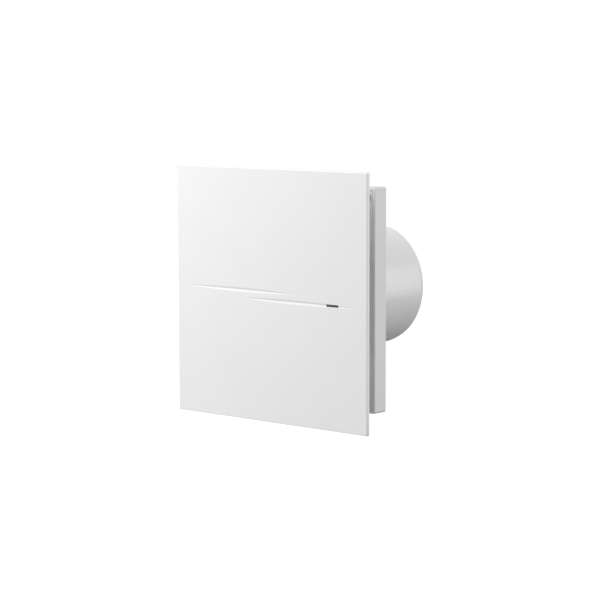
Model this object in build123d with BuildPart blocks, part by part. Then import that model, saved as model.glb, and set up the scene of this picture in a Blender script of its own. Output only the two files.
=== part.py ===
"""Bathroom extractor fan for a nominal 100 mm duct, as separate pieces.

Frame: millimetres, +Z up. The duct axis is Y and the air flows towards +Y. The origin is on
the duct axis in the wall plane (the back of the casing), and the front panel faces -Y.
"""
from build123d import *
from math import cos, radians, sin
import os

# ---------------------------------------------------------------- driving dimensions
# Front panel
PANEL_SIZE = 202.0
PANEL_T = 3.0
PANEL_FRONT_Y = -38.5
PANEL_CORNER_R = 1.2
PANEL_DRAFT = 0.35                     # how far the sides slope in towards the front
PANEL_EDGE_R = 0.25
GROOVE_DEPTH = 0.4
GROOVE_W = 3.2
UPPER_GROOVE = (-94.5, 31.0, 3.1)      # start x, end x, height z
LOWER_GROOVE = (-33.5, 95.7, -3.2)
BADGE_SIZE = (12.0, 1.8)
BADGE_AT = (66.0, -3.0)
BADGE_T = 0.8
BADGE_SEAT_DEPTH = 0.9
BADGE_EDGE_R = 0.2
BOSS_R = 3.5
BOSS_H = 5.0
BOSS_HOLE_R = 1.1
CARRIER_SCREW_AT = (62.0, 61.5)

# Panel carrier, its four legs and their sockets
CARRIER_OUTER = (160.0, 132.0)
CARRIER_INNER = (142.0, 114.0)
CARRIER_CORNER_R = (5.0, 3.0)          # outer corners, corners of the window
CARRIER_T = 2.0
GUSSET_SIZE = (5.0, 9.0)               # across the carrier, along the leg
GUSSET_T = 1.6
LEG_AT = (76.0, 50.0)
LEG_SIZE = (2.4, 9.0)
LEG_TIP_Y = -5.5
LEG_CHAMFER = 0.7
SOCKET_SIZE = (5.2, 10.0)
SOCKET_WALL = 1.3
SOCKET_END_Y = -4.0

# Casing tray
CASING_SIZE = 176.0
CASING_DEPTH = 13.5
CASING_CORNER_R = 1.8
CASING_INNER_CORNER_R = 0.8
CASING_EDGE_R = 0.5
CASING_WALL = 2.3
BACK_T = 2.5
LAND_R = 58.5
LAND_Y = -6.5
WALL_SCREW_AT = 72.0
WALL_SCREW_HOLE_R = 2.25
COVER_SCREW_AT = 80.5
COVER_BOSS_R = 3.2
LEDGE_SIZE = (12.0, 2.0)               # ledges under the middles of the cover's edges
WALL_PAD_R = 5.0
WALL_PAD_H = 1.0
CLAMP_POST_R = 2.6
CLAMP_POST_H = 4.5
SNAP_RIB_SIZE = (1.8, 10.0, 6.5)
SNAP_RIB_GAP = 0.3
LEAD_NOTCH_DEPTH = 3.0
LEAD_NOTCH_PLAY = 0.6

# Screw holes: clearance holes, and bores for the threads with their depths
SCREW_PASS_R = 1.6
COVER_SCREW_BORE = (1.25, 7.5)
SPIGOT_SCREW_BORE = (1.2, 5.0)
BLOCK_SCREW_BORE = (1.0, 4.0)
CLAMP_SCREW_BORE = (1.1, 5.5)
GUARD_SCREW_BORE_R = 1.1

# Inlet cover and guard
COVER_GAP = 0.25
COVER_T = 2.0
COVER_CORNER_R = 1.2
LIP_R = 7.0                            # half-round bead of the bell-mouth
LIP_T = 2.0
SCREW_BOSS_R = 3.0
SCREW_BOSS_END_Y = -6.0
SCREW_BORE_END_Y = -6.5
GUARD_T = 1.8
GUARD_EDGE_R = 0.35
GUARD_SPOKES = 8
GUARD_SPOKE_W = 2.0
GUARD_ARM_W = 5.0
GUARD_RINGS = (13.0, 24.0, 34.0, 44.0)
GUARD_BAR_W = 1.8
GUARD_RIM_R = (53.0, 56.0)
GUARD_FOOT_R = 67.0                    # distance of the feet from the duct axis
GUARD_FOOT_SIZE = 3.2

# Duct spigot
SPIGOT_R = 49.5
SPIGOT_BORE_R = 47.3
SPIGOT_END_Y = 96.0
SHOULDER_R = 51.0                      # thicker root of the tube, inside the casing only
FLANGE_R = 58.0
FLANGE_T = 2.0
FLANGE_SCREW_R = 53.6
LEAD_IN = 4.0
LEAD_IN_DROP = 0.8
END_CHAMFER = (0.5, 0.6)               # across the wall, along the tube
LEAD_STRIP_SIZE = (6.0, 1.4)           # thickened strip under the groove of the motor lead
LEAD_HOLE_LENGTH = 5.0
STOP_RIB_Y = (45.5, 47.5)
STOP_RIB_R = 46.0

# Impeller
TIP_R = 45.8
HUB_R = 26.5
HUB_WALL = 1.8
HUB_Y = (-6.0, 14.0)
BLADES = 7
NOSE_TIP_Y = -13.8

# Motor
SHAFT_R = 2.5
SHAFT_Y = (-7.8, 42.0)
MOTOR_R = 24.0
MOTOR_WALL = 1.2
MOTOR_FRONT_Y = 14.5
MOTOR_REAR_Y = 39.5
BEARING_R = 8.0
BEARING_W = 5.0
BEARING_FRONT_Y = (9.5, 37.0)          # front faces of the two bearings
BALL_R = 1.5
BALL_PITCH_R = 5.25
BALLS = 7
BALL_PLAY = 0.1
RACE_R = (4.2, 6.3)                    # shoulders of the inner and the outer race
CAGE_R = (4.5, 6.0)
CAGE_T = 1.9
CAGE_OFFSET = 0.2
CORE_Y = (18.0, 31.0)
CORE_R = 22.6
AIR_BORE_R = 12.4
ROTOR_R = 12.0
MOUNT_PCD_R = 17.0
BUSH_HEAD_R = 4.5
BUSH_HOLE_R = 3.0
BUSH_PLAY = 0.05

# Guide vanes and motor cradle
VANES = 9
VANE_T = 1.6
VANE_PHASE = -10.0
VANE_CURVE = [(24.0, -8.0), (33.5, -1.6), (44.5, 0.0)]   # start, middle and end of its bent line
LEAD_PASSAGE_R = 2.2
RING_R = (45.8, 47.1)
RING_Y = (21.0, 45.5)
CRADLE_R = (25.4, 27.0)
CRADLE_Y = (17.0, 43.0)
CRADLE_PLATE_Y = 41.0
CRADLE_HOLE_R = 10.5

# Back-draught damper
DAMPER_Y = (47.5, 56.0)
DAMPER_R = (45.0, 47.1)
SEAT_R = 43.4
SEAT_Y = 49.5
PIN_Y = 52.0
PIN_R = 1.25
PIN_PLAY = 0.07
PIN_HALF_LENGTH = 46.8
FLAP_R = 44.6
FLAP_T = 1.2
FLAP_BACK_Y = 51.0
FLAP_EDGE_X = 3.0
KNUCKLE_R = 2.4
FLAP_RIB_SIZE = (30.0, 1.2, 0.9)
FLAP_RIB_AT = (19.0, 21.0)

# Electrical pieces in the tray
BLOCK_AT = (0.0, -73.5)
BLOCK_SIZE = (26.0, 15.0)
BLOCK_Y = (-15.5, -5.0)
POLE_PITCH = 8.0
HATCH_SIZE = (33.0, 17.0)
LID_SCREW_AT = (-27.0, -73.5)
CABLE_AT = (36.0, -70.0)
CABLE_HOLE_R = 6.0
CABLE_BORE_R = 4.0
CLAMP_AT = (20.0, -73.5)
CLAMP_SCREW_PITCH = 14.0
CAPACITOR_AT = (-48.5, -75.0)
CAPACITOR_SIZE = (31.0, 18.0, 8.0)
CAPACITOR_CORNER_R = 1.5
CAPACITOR_EDGE_R = 0.8
WIRE_R = 0.7
WIRE_OFFSET = 0.75                     # the two cores lie side by side
WIRE_R_IN_GROOVE = 48.7
WIRE_GROOVE_W = 3.4
WIRE_EXIT_Y = 35.8

# ---------------------------------------------------------------- derived places
PANEL_BACK_Y = PANEL_FRONT_Y + PANEL_T
CARRIER_FRONT_Y = PANEL_BACK_Y + BOSS_H
CARRIER_BACK_Y = CARRIER_FRONT_Y + CARRIER_T
CASING_FRONT_Y = -CASING_DEPTH
COVER_BACK_Y = CASING_FRONT_Y + COVER_T
COVER_SIZE = CASING_SIZE - 2 * CASING_WALL - 2 * COVER_GAP
LIP_MID_R = SPIGOT_BORE_R + LIP_R
LIP_MID_Y = -12.5
CROWN_Y = LIP_MID_Y - LIP_R
GUARD_FRONT_Y = CROWN_Y - GUARD_T
FLANGE_FRONT_Y = LAND_Y - FLANGE_T
FOUR_CORNERS = [(x, z) for x in (-1, 1) for z in (-1, 1)]
LEG_POINTS = [(x * LEG_AT[0], z * LEG_AT[1]) for x, z in FOUR_CORNERS]
WALL_SCREW_POINTS = [(x * WALL_SCREW_AT, z * WALL_SCREW_AT) for x, z in FOUR_CORNERS]
COVER_SCREW_POINTS = [(x * COVER_SCREW_AT, z * COVER_SCREW_AT) for x, z in FOUR_CORNERS]
CARRIER_SCREW_POINTS = [(x * CARRIER_SCREW_AT[0], z * CARRIER_SCREW_AT[1]) for x, z in FOUR_CORNERS]
CLAMP_SCREW_POINTS = [(CLAMP_AT[0], CLAMP_AT[1] + s * CLAMP_SCREW_PITCH / 2) for s in (-1, 1)]
POLE_XS = [-POLE_PITCH, 0.0, POLE_PITCH]
BLOCK_SCREW_POINTS = [(s * POLE_PITCH / 2, BLOCK_AT[1]) for s in (-1, 1)]


# ---------------------------------------------------------------- helpers
def room_plane(y):
    """Plane across the duct axis that faces the room: X to the right, Z up."""
    return Plane(origin=(0, y, 0), x_dir=(1, 0, 0), z_dir=(0, -1, 0))


def duct_plane(y):
    """Plane across the duct axis that faces down the duct."""
    return Plane(origin=(0, y, 0), x_dir=(1, 0, 0), z_dir=(0, 1, 0))


def radial_plane(radius):
    """Plane at a distance from the duct axis along +X: local x is Y, local y is Z."""
    return Plane(origin=(radius, 0, 0), x_dir=(0, 1, 0), z_dir=(1, 0, 0))


def pan_screw(head_r, head_h, shank_r, length):
    """Cross-recessed pan-head screw: it seats at z = 0, head up and shank down."""
    with BuildPart() as screw:
        Cylinder(head_r, head_h, align=(Align.CENTER, Align.CENTER, Align.MIN))
        fillet(screw.edges().sort_by(Axis.Z)[-1], 0.45 * head_h)
        Cylinder(shank_r, length, align=(Align.CENTER, Align.CENTER, Align.MAX))
        chamfer(screw.edges().sort_by(Axis.Z)[0], 0.4 * shank_r)
        with BuildSketch(Plane.XY.offset(head_h)):
            Rectangle(1.1 * head_r, 0.3 * head_r)
            Rectangle(0.3 * head_r, 1.1 * head_r)
        extrude(amount=-0.6 * head_h, mode=Mode.SUBTRACT)
    return screw.part


def washer(outer_r, inner_r, thickness):
    """Flat ring standing on z = 0."""
    with BuildPart() as ring:
        Cylinder(outer_r, thickness, align=(Align.CENTER, Align.CENTER, Align.MIN))
        Cylinder(inner_r, thickness, align=(Align.CENTER, Align.CENTER, Align.MIN), mode=Mode.SUBTRACT)
    return ring.part


def spindle(start_x, end_x, z, width):
    """Long spindle outline: two shallow arcs that meet in a point at each end."""
    middle_x = (start_x + end_x) / 2
    with BuildSketch() as outline:
        with BuildLine():
            ThreePointArc((start_x, z), (middle_x, z + width / 2), (end_x, z))
            ThreePointArc((end_x, z), (middle_x, z - width / 2), (start_x, z))
        make_face()
    return outline.sketch


def turned(points):
    """Solid of revolution about the duct axis from (radius, y) corner points."""
    with BuildPart() as body:
        with BuildSketch(Plane.XY):
            with BuildLine():
                Polyline(*points, close=True)
            make_face()
        revolve(axis=Axis.Y)
    return body.part


os.makedirs("parts", exist_ok=True)

# ================================================================ front panel group
with BuildPart() as front_panel:
    with BuildSketch(room_plane(PANEL_BACK_Y)):
        RectangleRounded(PANEL_SIZE, PANEL_SIZE, PANEL_CORNER_R)
    with BuildSketch(room_plane(PANEL_FRONT_Y)):
        face_size = PANEL_SIZE - 2 * PANEL_DRAFT
        RectangleRounded(face_size, face_size, PANEL_CORNER_R - PANEL_DRAFT)
    loft(ruled=True)
    fillet(front_panel.faces().sort_by(Axis.Y)[0].edges(), PANEL_EDGE_R)
    # Two staggered spindle grooves and the seat of the badge
    with BuildSketch(room_plane(PANEL_FRONT_Y)):
        add(spindle(*UPPER_GROOVE, GROOVE_W))
        add(spindle(*LOWER_GROOVE, GROOVE_W))
    extrude(amount=-GROOVE_DEPTH, mode=Mode.SUBTRACT)
    with BuildSketch(room_plane(PANEL_FRONT_Y)):
        with Locations(BADGE_AT):
            Rectangle(*BADGE_SIZE)
    extrude(amount=-BADGE_SEAT_DEPTH, mode=Mode.SUBTRACT)
    # Screw bosses on the back
    with BuildSketch(room_plane(CARRIER_FRONT_Y)):
        with Locations(*CARRIER_SCREW_POINTS):
            Circle(BOSS_R)
    extrude(amount=BOSS_H)
    with BuildSketch(room_plane(CARRIER_FRONT_Y)):
        with Locations(*CARRIER_SCREW_POINTS):
            Circle(BOSS_HOLE_R)
    extrude(amount=BOSS_H + 0.5, mode=Mode.SUBTRACT)
front_panel.part.label = "front_panel"
export_step(front_panel.part, "parts/front_panel.step")

with BuildPart() as blank_badge:
    with BuildSketch(room_plane(PANEL_FRONT_Y + BADGE_SEAT_DEPTH)):
        with Locations(BADGE_AT):
            Rectangle(*BADGE_SIZE)
    extrude(amount=BADGE_T)
    fillet(blank_badge.faces().sort_by(Axis.Y)[0].edges(), BADGE_EDGE_R)
blank_badge.part.label = "blank_badge"
export_step(blank_badge.part, "parts/blank_badge.step")

with BuildPart() as panel_carrier:
    with BuildSketch(room_plane(CARRIER_BACK_Y)):
        RectangleRounded(*CARRIER_OUTER, CARRIER_CORNER_R[0])
        RectangleRounded(*CARRIER_INNER, CARRIER_CORNER_R[1], mode=Mode.SUBTRACT)
        with Locations(*CARRIER_SCREW_POINTS):
            Circle(SCREW_PASS_R, mode=Mode.SUBTRACT)
    extrude(amount=CARRIER_T)
    # Legs that plug into the sockets of the inlet cover
    with BuildSketch(room_plane(LEG_TIP_Y)):
        with Locations(*LEG_POINTS):
            Rectangle(*LEG_SIZE)
    extrude(amount=LEG_TIP_Y - CARRIER_BACK_Y)
    chamfer(panel_carrier.faces().sort_by(Axis.Y)[-4:].edges().filter_by(Axis.Z), LEG_CHAMFER)
    # Gussets at the roots of the legs
    for x, z in LEG_POINTS:
        inward = -1 if x > 0 else 1
        with BuildSketch(Plane.XY.offset(z - GUSSET_T / 2)):
            with BuildLine():
                Polyline(
                    (x, CARRIER_BACK_Y),
                    (x + inward * GUSSET_SIZE[0], CARRIER_BACK_Y),
                    (x, CARRIER_BACK_Y + GUSSET_SIZE[1]),
                    close=True,
                )
            make_face()
        extrude(amount=GUSSET_T)
panel_carrier.part.label = "panel_carrier"
export_step(panel_carrier.part, "parts/panel_carrier.step")

with BuildPart(duct_plane(CARRIER_BACK_Y)) as carrier_screws:
    with Locations(*CARRIER_SCREW_POINTS):
        add(pan_screw(2.8, 1.8, 1.1, 6.5))
carrier_screws.part.label = "carrier_screws"
export_step(carrier_screws.part, "parts/carrier_screws.step")

# Spring-steel clips that sit in the sockets and grip the legs
CLIP_T = 0.4
CLIP_HALF = SOCKET_SIZE[0] / 2 - CLIP_T / 2 - 0.05
CLIP_LENGTH = 8.0
CLIP_PINCH = 0.5                       # how far each leaf leans in towards the leg
CLIP_MOUTH_Y = COVER_BACK_Y + 0.3
CLIP_PINCH_Y = -8.5
CLIP_STRAIGHT_Y = -5.6
CLIP_BASE_Y = -4.4
with BuildPart() as panel_clips:
    for x, z in LEG_POINTS:
        with BuildSketch(Plane.XY.offset(z - CLIP_LENGTH / 2)):
            with BuildLine():
                leaf = Polyline(
                    (x - CLIP_HALF, CLIP_MOUTH_Y),
                    (x - CLIP_HALF + CLIP_PINCH, CLIP_PINCH_Y),
                    (x - CLIP_HALF, CLIP_STRAIGHT_Y),
                    (x - CLIP_HALF, CLIP_BASE_Y),
                    (x + CLIP_HALF, CLIP_BASE_Y),
                    (x + CLIP_HALF, CLIP_STRAIGHT_Y),
                    (x + CLIP_HALF - CLIP_PINCH, CLIP_PINCH_Y),
                    (x + CLIP_HALF, CLIP_MOUTH_Y),
                )
                offset(leaf, amount=CLIP_T / 2, mode=Mode.REPLACE)
            make_face()
        extrude(amount=CLIP_LENGTH)
panel_clips.part.label = "panel_clips"
export_step(panel_clips.part, "parts/panel_clips.step")

# ================================================================ casing group
with BuildPart() as rear_casing:
    with BuildSketch(room_plane(0)):
        RectangleRounded(CASING_SIZE, CASING_SIZE, CASING_CORNER_R)
    extrude(amount=CASING_DEPTH)
    fillet(rear_casing.faces().sort_by(Axis.Y)[0].edges(), CASING_EDGE_R)
    fillet(rear_casing.faces().sort_by(Axis.Y)[-1].edges(), CASING_EDGE_R)
    inner_size = CASING_SIZE - 2 * CASING_WALL
    with BuildSketch(room_plane(-BACK_T)):
        RectangleRounded(inner_size, inner_size, CASING_INNER_CORNER_R)
    extrude(amount=CASING_DEPTH, mode=Mode.SUBTRACT)
    # Raised land round the duct, which the spigot's flange is screwed to
    with BuildSketch(room_plane(-BACK_T)):
        Circle(LAND_R)
    extrude(amount=-BACK_T - LAND_Y)
    # Bosses and ledges that carry the inlet cover
    with BuildSketch(room_plane(-BACK_T)):
        with Locations(*COVER_SCREW_POINTS):
            Circle(COVER_BOSS_R)
        ledge_at = (inner_size - LEDGE_SIZE[1]) / 2
        with PolarLocations(ledge_at, 4):
            Rectangle(LEDGE_SIZE[1], LEDGE_SIZE[0])
    extrude(amount=-BACK_T - COVER_BACK_Y)
    # Pads round the wall screws, pad of the terminal block, posts of the cable clamp
    with BuildSketch(room_plane(-BACK_T)):
        with Locations(*WALL_SCREW_POINTS):
            Circle(WALL_PAD_R)
    extrude(amount=WALL_PAD_H)
    with BuildSketch(room_plane(-BACK_T)):
        with Locations(BLOCK_AT):
            Rectangle(BLOCK_SIZE[0] + 2, BLOCK_SIZE[1] + 1)
    extrude(amount=-BACK_T - BLOCK_Y[1])
    with BuildSketch(room_plane(-BACK_T)):
        with Locations(*CLAMP_SCREW_POINTS):
            Circle(CLAMP_POST_R)
    extrude(amount=CLAMP_POST_H)
    # Snap ribs at the two ends of the capacitor
    with BuildSketch(room_plane(-BACK_T)):
        with Locations(CAPACITOR_AT):
            with GridLocations(CAPACITOR_SIZE[0] + SNAP_RIB_SIZE[0] + 2 * SNAP_RIB_GAP, 0, 2, 1):
                Rectangle(SNAP_RIB_SIZE[0], SNAP_RIB_SIZE[1])
    extrude(amount=SNAP_RIB_SIZE[2])
    # Openings: duct, wall screws, cable, cover screws, spigot screws, block and clamp screws
    with BuildSketch(room_plane(0)):
        Circle(SHOULDER_R + 0.2)
        with Locations(*WALL_SCREW_POINTS):
            Circle(WALL_SCREW_HOLE_R)
        with Locations(CABLE_AT):
            Circle(CABLE_HOLE_R)
    extrude(amount=CASING_DEPTH, mode=Mode.SUBTRACT)
    with BuildSketch(room_plane(COVER_BACK_Y)):
        with Locations(*COVER_SCREW_POINTS):
            Circle(COVER_SCREW_BORE[0])
    extrude(amount=-COVER_SCREW_BORE[1], mode=Mode.SUBTRACT)
    with BuildSketch(room_plane(LAND_Y)):
        with PolarLocations(FLANGE_SCREW_R, 4, start_angle=45):
            Circle(SPIGOT_SCREW_BORE[0])
    extrude(amount=-SPIGOT_SCREW_BORE[1], mode=Mode.SUBTRACT)
    with BuildSketch(room_plane(BLOCK_Y[1])):
        with Locations(*BLOCK_SCREW_POINTS):
            Circle(BLOCK_SCREW_BORE[0])
    extrude(amount=-BLOCK_SCREW_BORE[1], mode=Mode.SUBTRACT)
    with BuildSketch(room_plane(-BACK_T - CLAMP_POST_H)):
        with Locations(*CLAMP_SCREW_POINTS):
            Circle(CLAMP_SCREW_BORE[0])
    extrude(amount=-CLAMP_SCREW_BORE[1], mode=Mode.SUBTRACT)
    # Notch in the land for the motor lead
    with BuildSketch(room_plane(LAND_Y)):
        with Locations((0, -(SHOULDER_R + LAND_R) / 2)):
            Rectangle(WIRE_GROOVE_W + 2 * LEAD_NOTCH_PLAY, LAND_R - SHOULDER_R + 3)
    extrude(amount=-LEAD_NOTCH_DEPTH, mode=Mode.SUBTRACT)
rear_casing.part.label = "rear_casing"
export_step(rear_casing.part, "parts/rear_casing.step")

SOCKET_OUTER = (SOCKET_SIZE[0] + 2 * SOCKET_WALL, SOCKET_SIZE[1] + 2 * SOCKET_WALL)
with BuildPart() as inlet_cover:
    with BuildSketch(room_plane(COVER_BACK_Y)):
        RectangleRounded(COVER_SIZE, COVER_SIZE, COVER_CORNER_R)
        Circle(LIP_MID_R + LIP_R - LIP_T / 2, mode=Mode.SUBTRACT)
    extrude(amount=COVER_T)
    # Bell-mouth: a half-round bead that runs down into the throat of the duct
    with BuildSketch(Plane.XY):
        with BuildLine():
            throat_end_y = FLANGE_FRONT_Y - 0.2
            inner_r, outer_r = SPIGOT_BORE_R, LIP_MID_R + LIP_R
            Line((inner_r, throat_end_y), (inner_r, LIP_MID_Y))
            ThreePointArc((inner_r, LIP_MID_Y), (LIP_MID_R, CROWN_Y), (outer_r, LIP_MID_Y))
            Polyline((outer_r, LIP_MID_Y), (outer_r, COVER_BACK_Y), (outer_r - LIP_T, COVER_BACK_Y),
                     (outer_r - LIP_T, LIP_MID_Y))
            ThreePointArc((outer_r - LIP_T, LIP_MID_Y), (LIP_MID_R, CROWN_Y + LIP_T),
                          (inner_r + LIP_T, LIP_MID_Y))
            Polyline((inner_r + LIP_T, LIP_MID_Y), (inner_r + LIP_T, throat_end_y), (inner_r, throat_end_y))
        make_face()
    revolve(axis=Axis.Y)
    # Sockets for the legs, bosses for the guard and for the terminal cover
    with BuildSketch(room_plane(SOCKET_END_Y)):
        with Locations(*LEG_POINTS):
            Rectangle(*SOCKET_OUTER)
    extrude(amount=SOCKET_END_Y - COVER_BACK_Y)
    with BuildSketch(room_plane(SCREW_BOSS_END_Y)):
        with PolarLocations(GUARD_FOOT_R, 4, start_angle=45):
            Circle(SCREW_BOSS_R)
        with Locations(LID_SCREW_AT):
            Circle(SCREW_BOSS_R)
    extrude(amount=SCREW_BOSS_END_Y - COVER_BACK_Y)
    with BuildSketch(room_plane(0)):
        with Locations(*LEG_POINTS):
            Rectangle(*SOCKET_SIZE)
        with Locations(BLOCK_AT):
            Rectangle(*HATCH_SIZE)
        with Locations(*COVER_SCREW_POINTS):
            Circle(SCREW_PASS_R)
    extrude(amount=CASING_DEPTH, mode=Mode.SUBTRACT)
    with BuildSketch(room_plane(SCREW_BORE_END_Y)):
        with PolarLocations(GUARD_FOOT_R, 4, start_angle=45):
            Circle(GUARD_SCREW_BORE_R)
        with Locations(LID_SCREW_AT):
            Circle(GUARD_SCREW_BORE_R)
    extrude(amount=SCREW_BORE_END_Y - CASING_FRONT_Y, mode=Mode.SUBTRACT)
inlet_cover.part.label = "inlet_cover"
export_step(inlet_cover.part, "parts/inlet_cover.step")

with BuildPart(room_plane(CASING_FRONT_Y)) as cover_screws:
    with Locations(*COVER_SCREW_POINTS):
        add(pan_screw(2.9, 1.7, 1.25, 8.5))
cover_screws.part.label = "cover_screws"
export_step(cover_screws.part, "parts/cover_screws.step")

with BuildPart() as inlet_guard:
    with BuildSketch(room_plane(CROWN_Y)):
        Circle(GUARD_RIM_R[1])
        Circle(GUARD_RIM_R[0], mode=Mode.SUBTRACT)
        for ring_r in GUARD_RINGS:
            with BuildSketch(mode=Mode.PRIVATE) as ring:
                Circle(ring_r + GUARD_BAR_W / 2)
                Circle(ring_r - GUARD_BAR_W / 2, mode=Mode.SUBTRACT)
            add(ring.sketch)
        with PolarLocations((GUARD_RINGS[0] + GUARD_RIM_R[0]) / 2, GUARD_SPOKES):
            Rectangle(GUARD_RIM_R[0] - GUARD_RINGS[0] + 1, GUARD_SPOKE_W)
        with PolarLocations((GUARD_RIM_R[1] + GUARD_FOOT_R) / 2, 4, start_angle=45):
            Rectangle(GUARD_FOOT_R - GUARD_RIM_R[1] + 1, GUARD_ARM_W)
        with PolarLocations(GUARD_FOOT_R, 4, start_angle=45):
            Circle(GUARD_FOOT_SIZE)
    extrude(amount=GUARD_T)
    fillet(inlet_guard.faces().sort_by(Axis.Y)[0].edges(), GUARD_EDGE_R)
    with BuildSketch(room_plane(CASING_FRONT_Y)):
        with PolarLocations(GUARD_FOOT_R, 4, start_angle=45):
            Circle(GUARD_FOOT_SIZE)
    extrude(amount=CASING_FRONT_Y - CROWN_Y)
    with BuildSketch(room_plane(CASING_FRONT_Y)):
        with PolarLocations(GUARD_FOOT_R, 4, start_angle=45):
            Circle(SCREW_PASS_R)
    extrude(amount=CASING_FRONT_Y - GUARD_FRONT_Y, mode=Mode.SUBTRACT)
inlet_guard.part.label = "inlet_guard"
export_step(inlet_guard.part, "parts/inlet_guard.step")

with BuildPart(room_plane(GUARD_FRONT_Y)) as guard_screws:
    with PolarLocations(GUARD_FOOT_R, 4, start_angle=45):
        add(pan_screw(2.6, 1.6, 1.1, 14.0))
guard_screws.part.label = "guard_screws"
export_step(guard_screws.part, "parts/guard_screws.step")

with BuildPart() as duct_spigot:
    with BuildSketch(Plane.XY):
        with BuildLine():
            Polyline(
                (SPIGOT_BORE_R, FLANGE_FRONT_Y),
                (FLANGE_R, FLANGE_FRONT_Y),
                (FLANGE_R, LAND_Y),
                (SHOULDER_R, LAND_Y),
                (SHOULDER_R, 0),
                (SPIGOT_R, 0),
                (SPIGOT_R, SPIGOT_END_Y - LEAD_IN),
                (SPIGOT_R - LEAD_IN_DROP, SPIGOT_END_Y - END_CHAMFER[1]),
                (SPIGOT_R - LEAD_IN_DROP - END_CHAMFER[0], SPIGOT_END_Y),
                (SPIGOT_BORE_R, SPIGOT_END_Y),
                (SPIGOT_BORE_R, STOP_RIB_Y[1]),
                (STOP_RIB_R, STOP_RIB_Y[1]),
                (STOP_RIB_R, STOP_RIB_Y[0]),
                (SPIGOT_BORE_R, STOP_RIB_Y[0]),
                close=True,
            )
        make_face()
    revolve(axis=Axis.Y)
    # Thickened strip under the wire groove, ahead of the guide vanes
    with BuildSketch(room_plane(RING_Y[0] - 0.5)):
        with Locations((0, -(SPIGOT_BORE_R + 0.1))):
            Rectangle(*LEAD_STRIP_SIZE)
    extrude(amount=RING_Y[0] - 0.5 - FLANGE_FRONT_Y)
    # Groove along the outside of the tube for the motor lead
    with BuildSketch(room_plane(WIRE_EXIT_Y + 1.8)):
        with Locations((0, -SPIGOT_R - 0.3)):
            Rectangle(WIRE_GROOVE_W, 4.0)
    extrude(amount=WIRE_EXIT_Y + 1.8 - LAND_Y, mode=Mode.SUBTRACT)
    # Hole through the wall where the lead comes out
    with BuildSketch(Plane.XY.offset(-SPIGOT_R)):
        with Locations((0, WIRE_EXIT_Y - 0.7)):
            Rectangle(WIRE_GROOVE_W, LEAD_HOLE_LENGTH)
    extrude(amount=6, mode=Mode.SUBTRACT)
    # Flange screw holes
    with BuildSketch(room_plane(LAND_Y)):
        with PolarLocations(FLANGE_SCREW_R, 4, start_angle=45):
            Circle(SCREW_PASS_R)
    extrude(amount=FLANGE_T, mode=Mode.SUBTRACT)
duct_spigot.part.label = "duct_spigot"
export_step(duct_spigot.part, "parts/duct_spigot.step")

with BuildPart(room_plane(FLANGE_FRONT_Y)) as spigot_screws:
    with PolarLocations(FLANGE_SCREW_R, 4, start_angle=45):
        add(pan_screw(2.6, 1.6, 1.2, 6.5))
spigot_screws.part.label = "spigot_screws"
export_step(spigot_screws.part, "parts/spigot_screws.step")

# ================================================================ guide vanes and motor cradle
with BuildPart() as guide_vanes:
    # One vane: it takes the swirling air at its front and lets it go straight
    with BuildSketch(radial_plane(18)):
        with BuildLine():
            ThreePointArc(*VANE_CURVE)
        trace(line_width=VANE_T)
    extrude(amount=32)
    with BuildSketch(Plane.XY):
        with Locations(((CRADLE_R[1] + RING_R[0]) / 2, 33)):
            Rectangle(RING_R[0] - CRADLE_R[1] + 1.2, 30)
    revolve(axis=Axis.Y, mode=Mode.INTERSECT)
    vane = guide_vanes.part
    add(vane.rotate(Axis.Y, VANE_PHASE), mode=Mode.REPLACE)
    for step in range(1, VANES):
        add(vane.rotate(Axis.Y, VANE_PHASE + step * 360 / VANES))
    # Outer ring, cradle cup and its back plate
    with BuildSketch(Plane.XY):
        with Locations((sum(RING_R) / 2, sum(RING_Y) / 2)):
            Rectangle(RING_R[1] - RING_R[0], RING_Y[1] - RING_Y[0])
        with Locations((sum(CRADLE_R) / 2, sum(CRADLE_Y) / 2)):
            Rectangle(CRADLE_R[1] - CRADLE_R[0], CRADLE_Y[1] - CRADLE_Y[0])
        with Locations(((CRADLE_HOLE_R + CRADLE_R[1]) / 2, (CRADLE_PLATE_Y + CRADLE_Y[1]) / 2)):
            Rectangle(CRADLE_R[1] - CRADLE_HOLE_R, CRADLE_Y[1] - CRADLE_PLATE_Y)
    revolve(axis=Axis.Y)
    with BuildSketch(duct_plane(CRADLE_PLATE_Y)):
        with PolarLocations(MOUNT_PCD_R, 3):
            Circle(BUSH_HOLE_R)
    extrude(amount=CRADLE_Y[1] - CRADLE_PLATE_Y, mode=Mode.SUBTRACT)
    # Passage of the motor lead through the cradle and the ring
    with BuildSketch(Plane.XY.offset(-CRADLE_R[1] - 1)):
        with Locations((0, WIRE_EXIT_Y)):
            Circle(LEAD_PASSAGE_R)
    extrude(amount=6, mode=Mode.SUBTRACT)
    with BuildSketch(Plane.XY.offset(-RING_R[1] - 1)):
        with Locations((0, WIRE_EXIT_Y - 0.7)):
            Rectangle(WIRE_GROOVE_W, LEAD_HOLE_LENGTH)
    extrude(amount=4, mode=Mode.SUBTRACT)
guide_vanes.part.label = "guide_vanes"
export_step(guide_vanes.part, "parts/guide_vanes.step")

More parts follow.
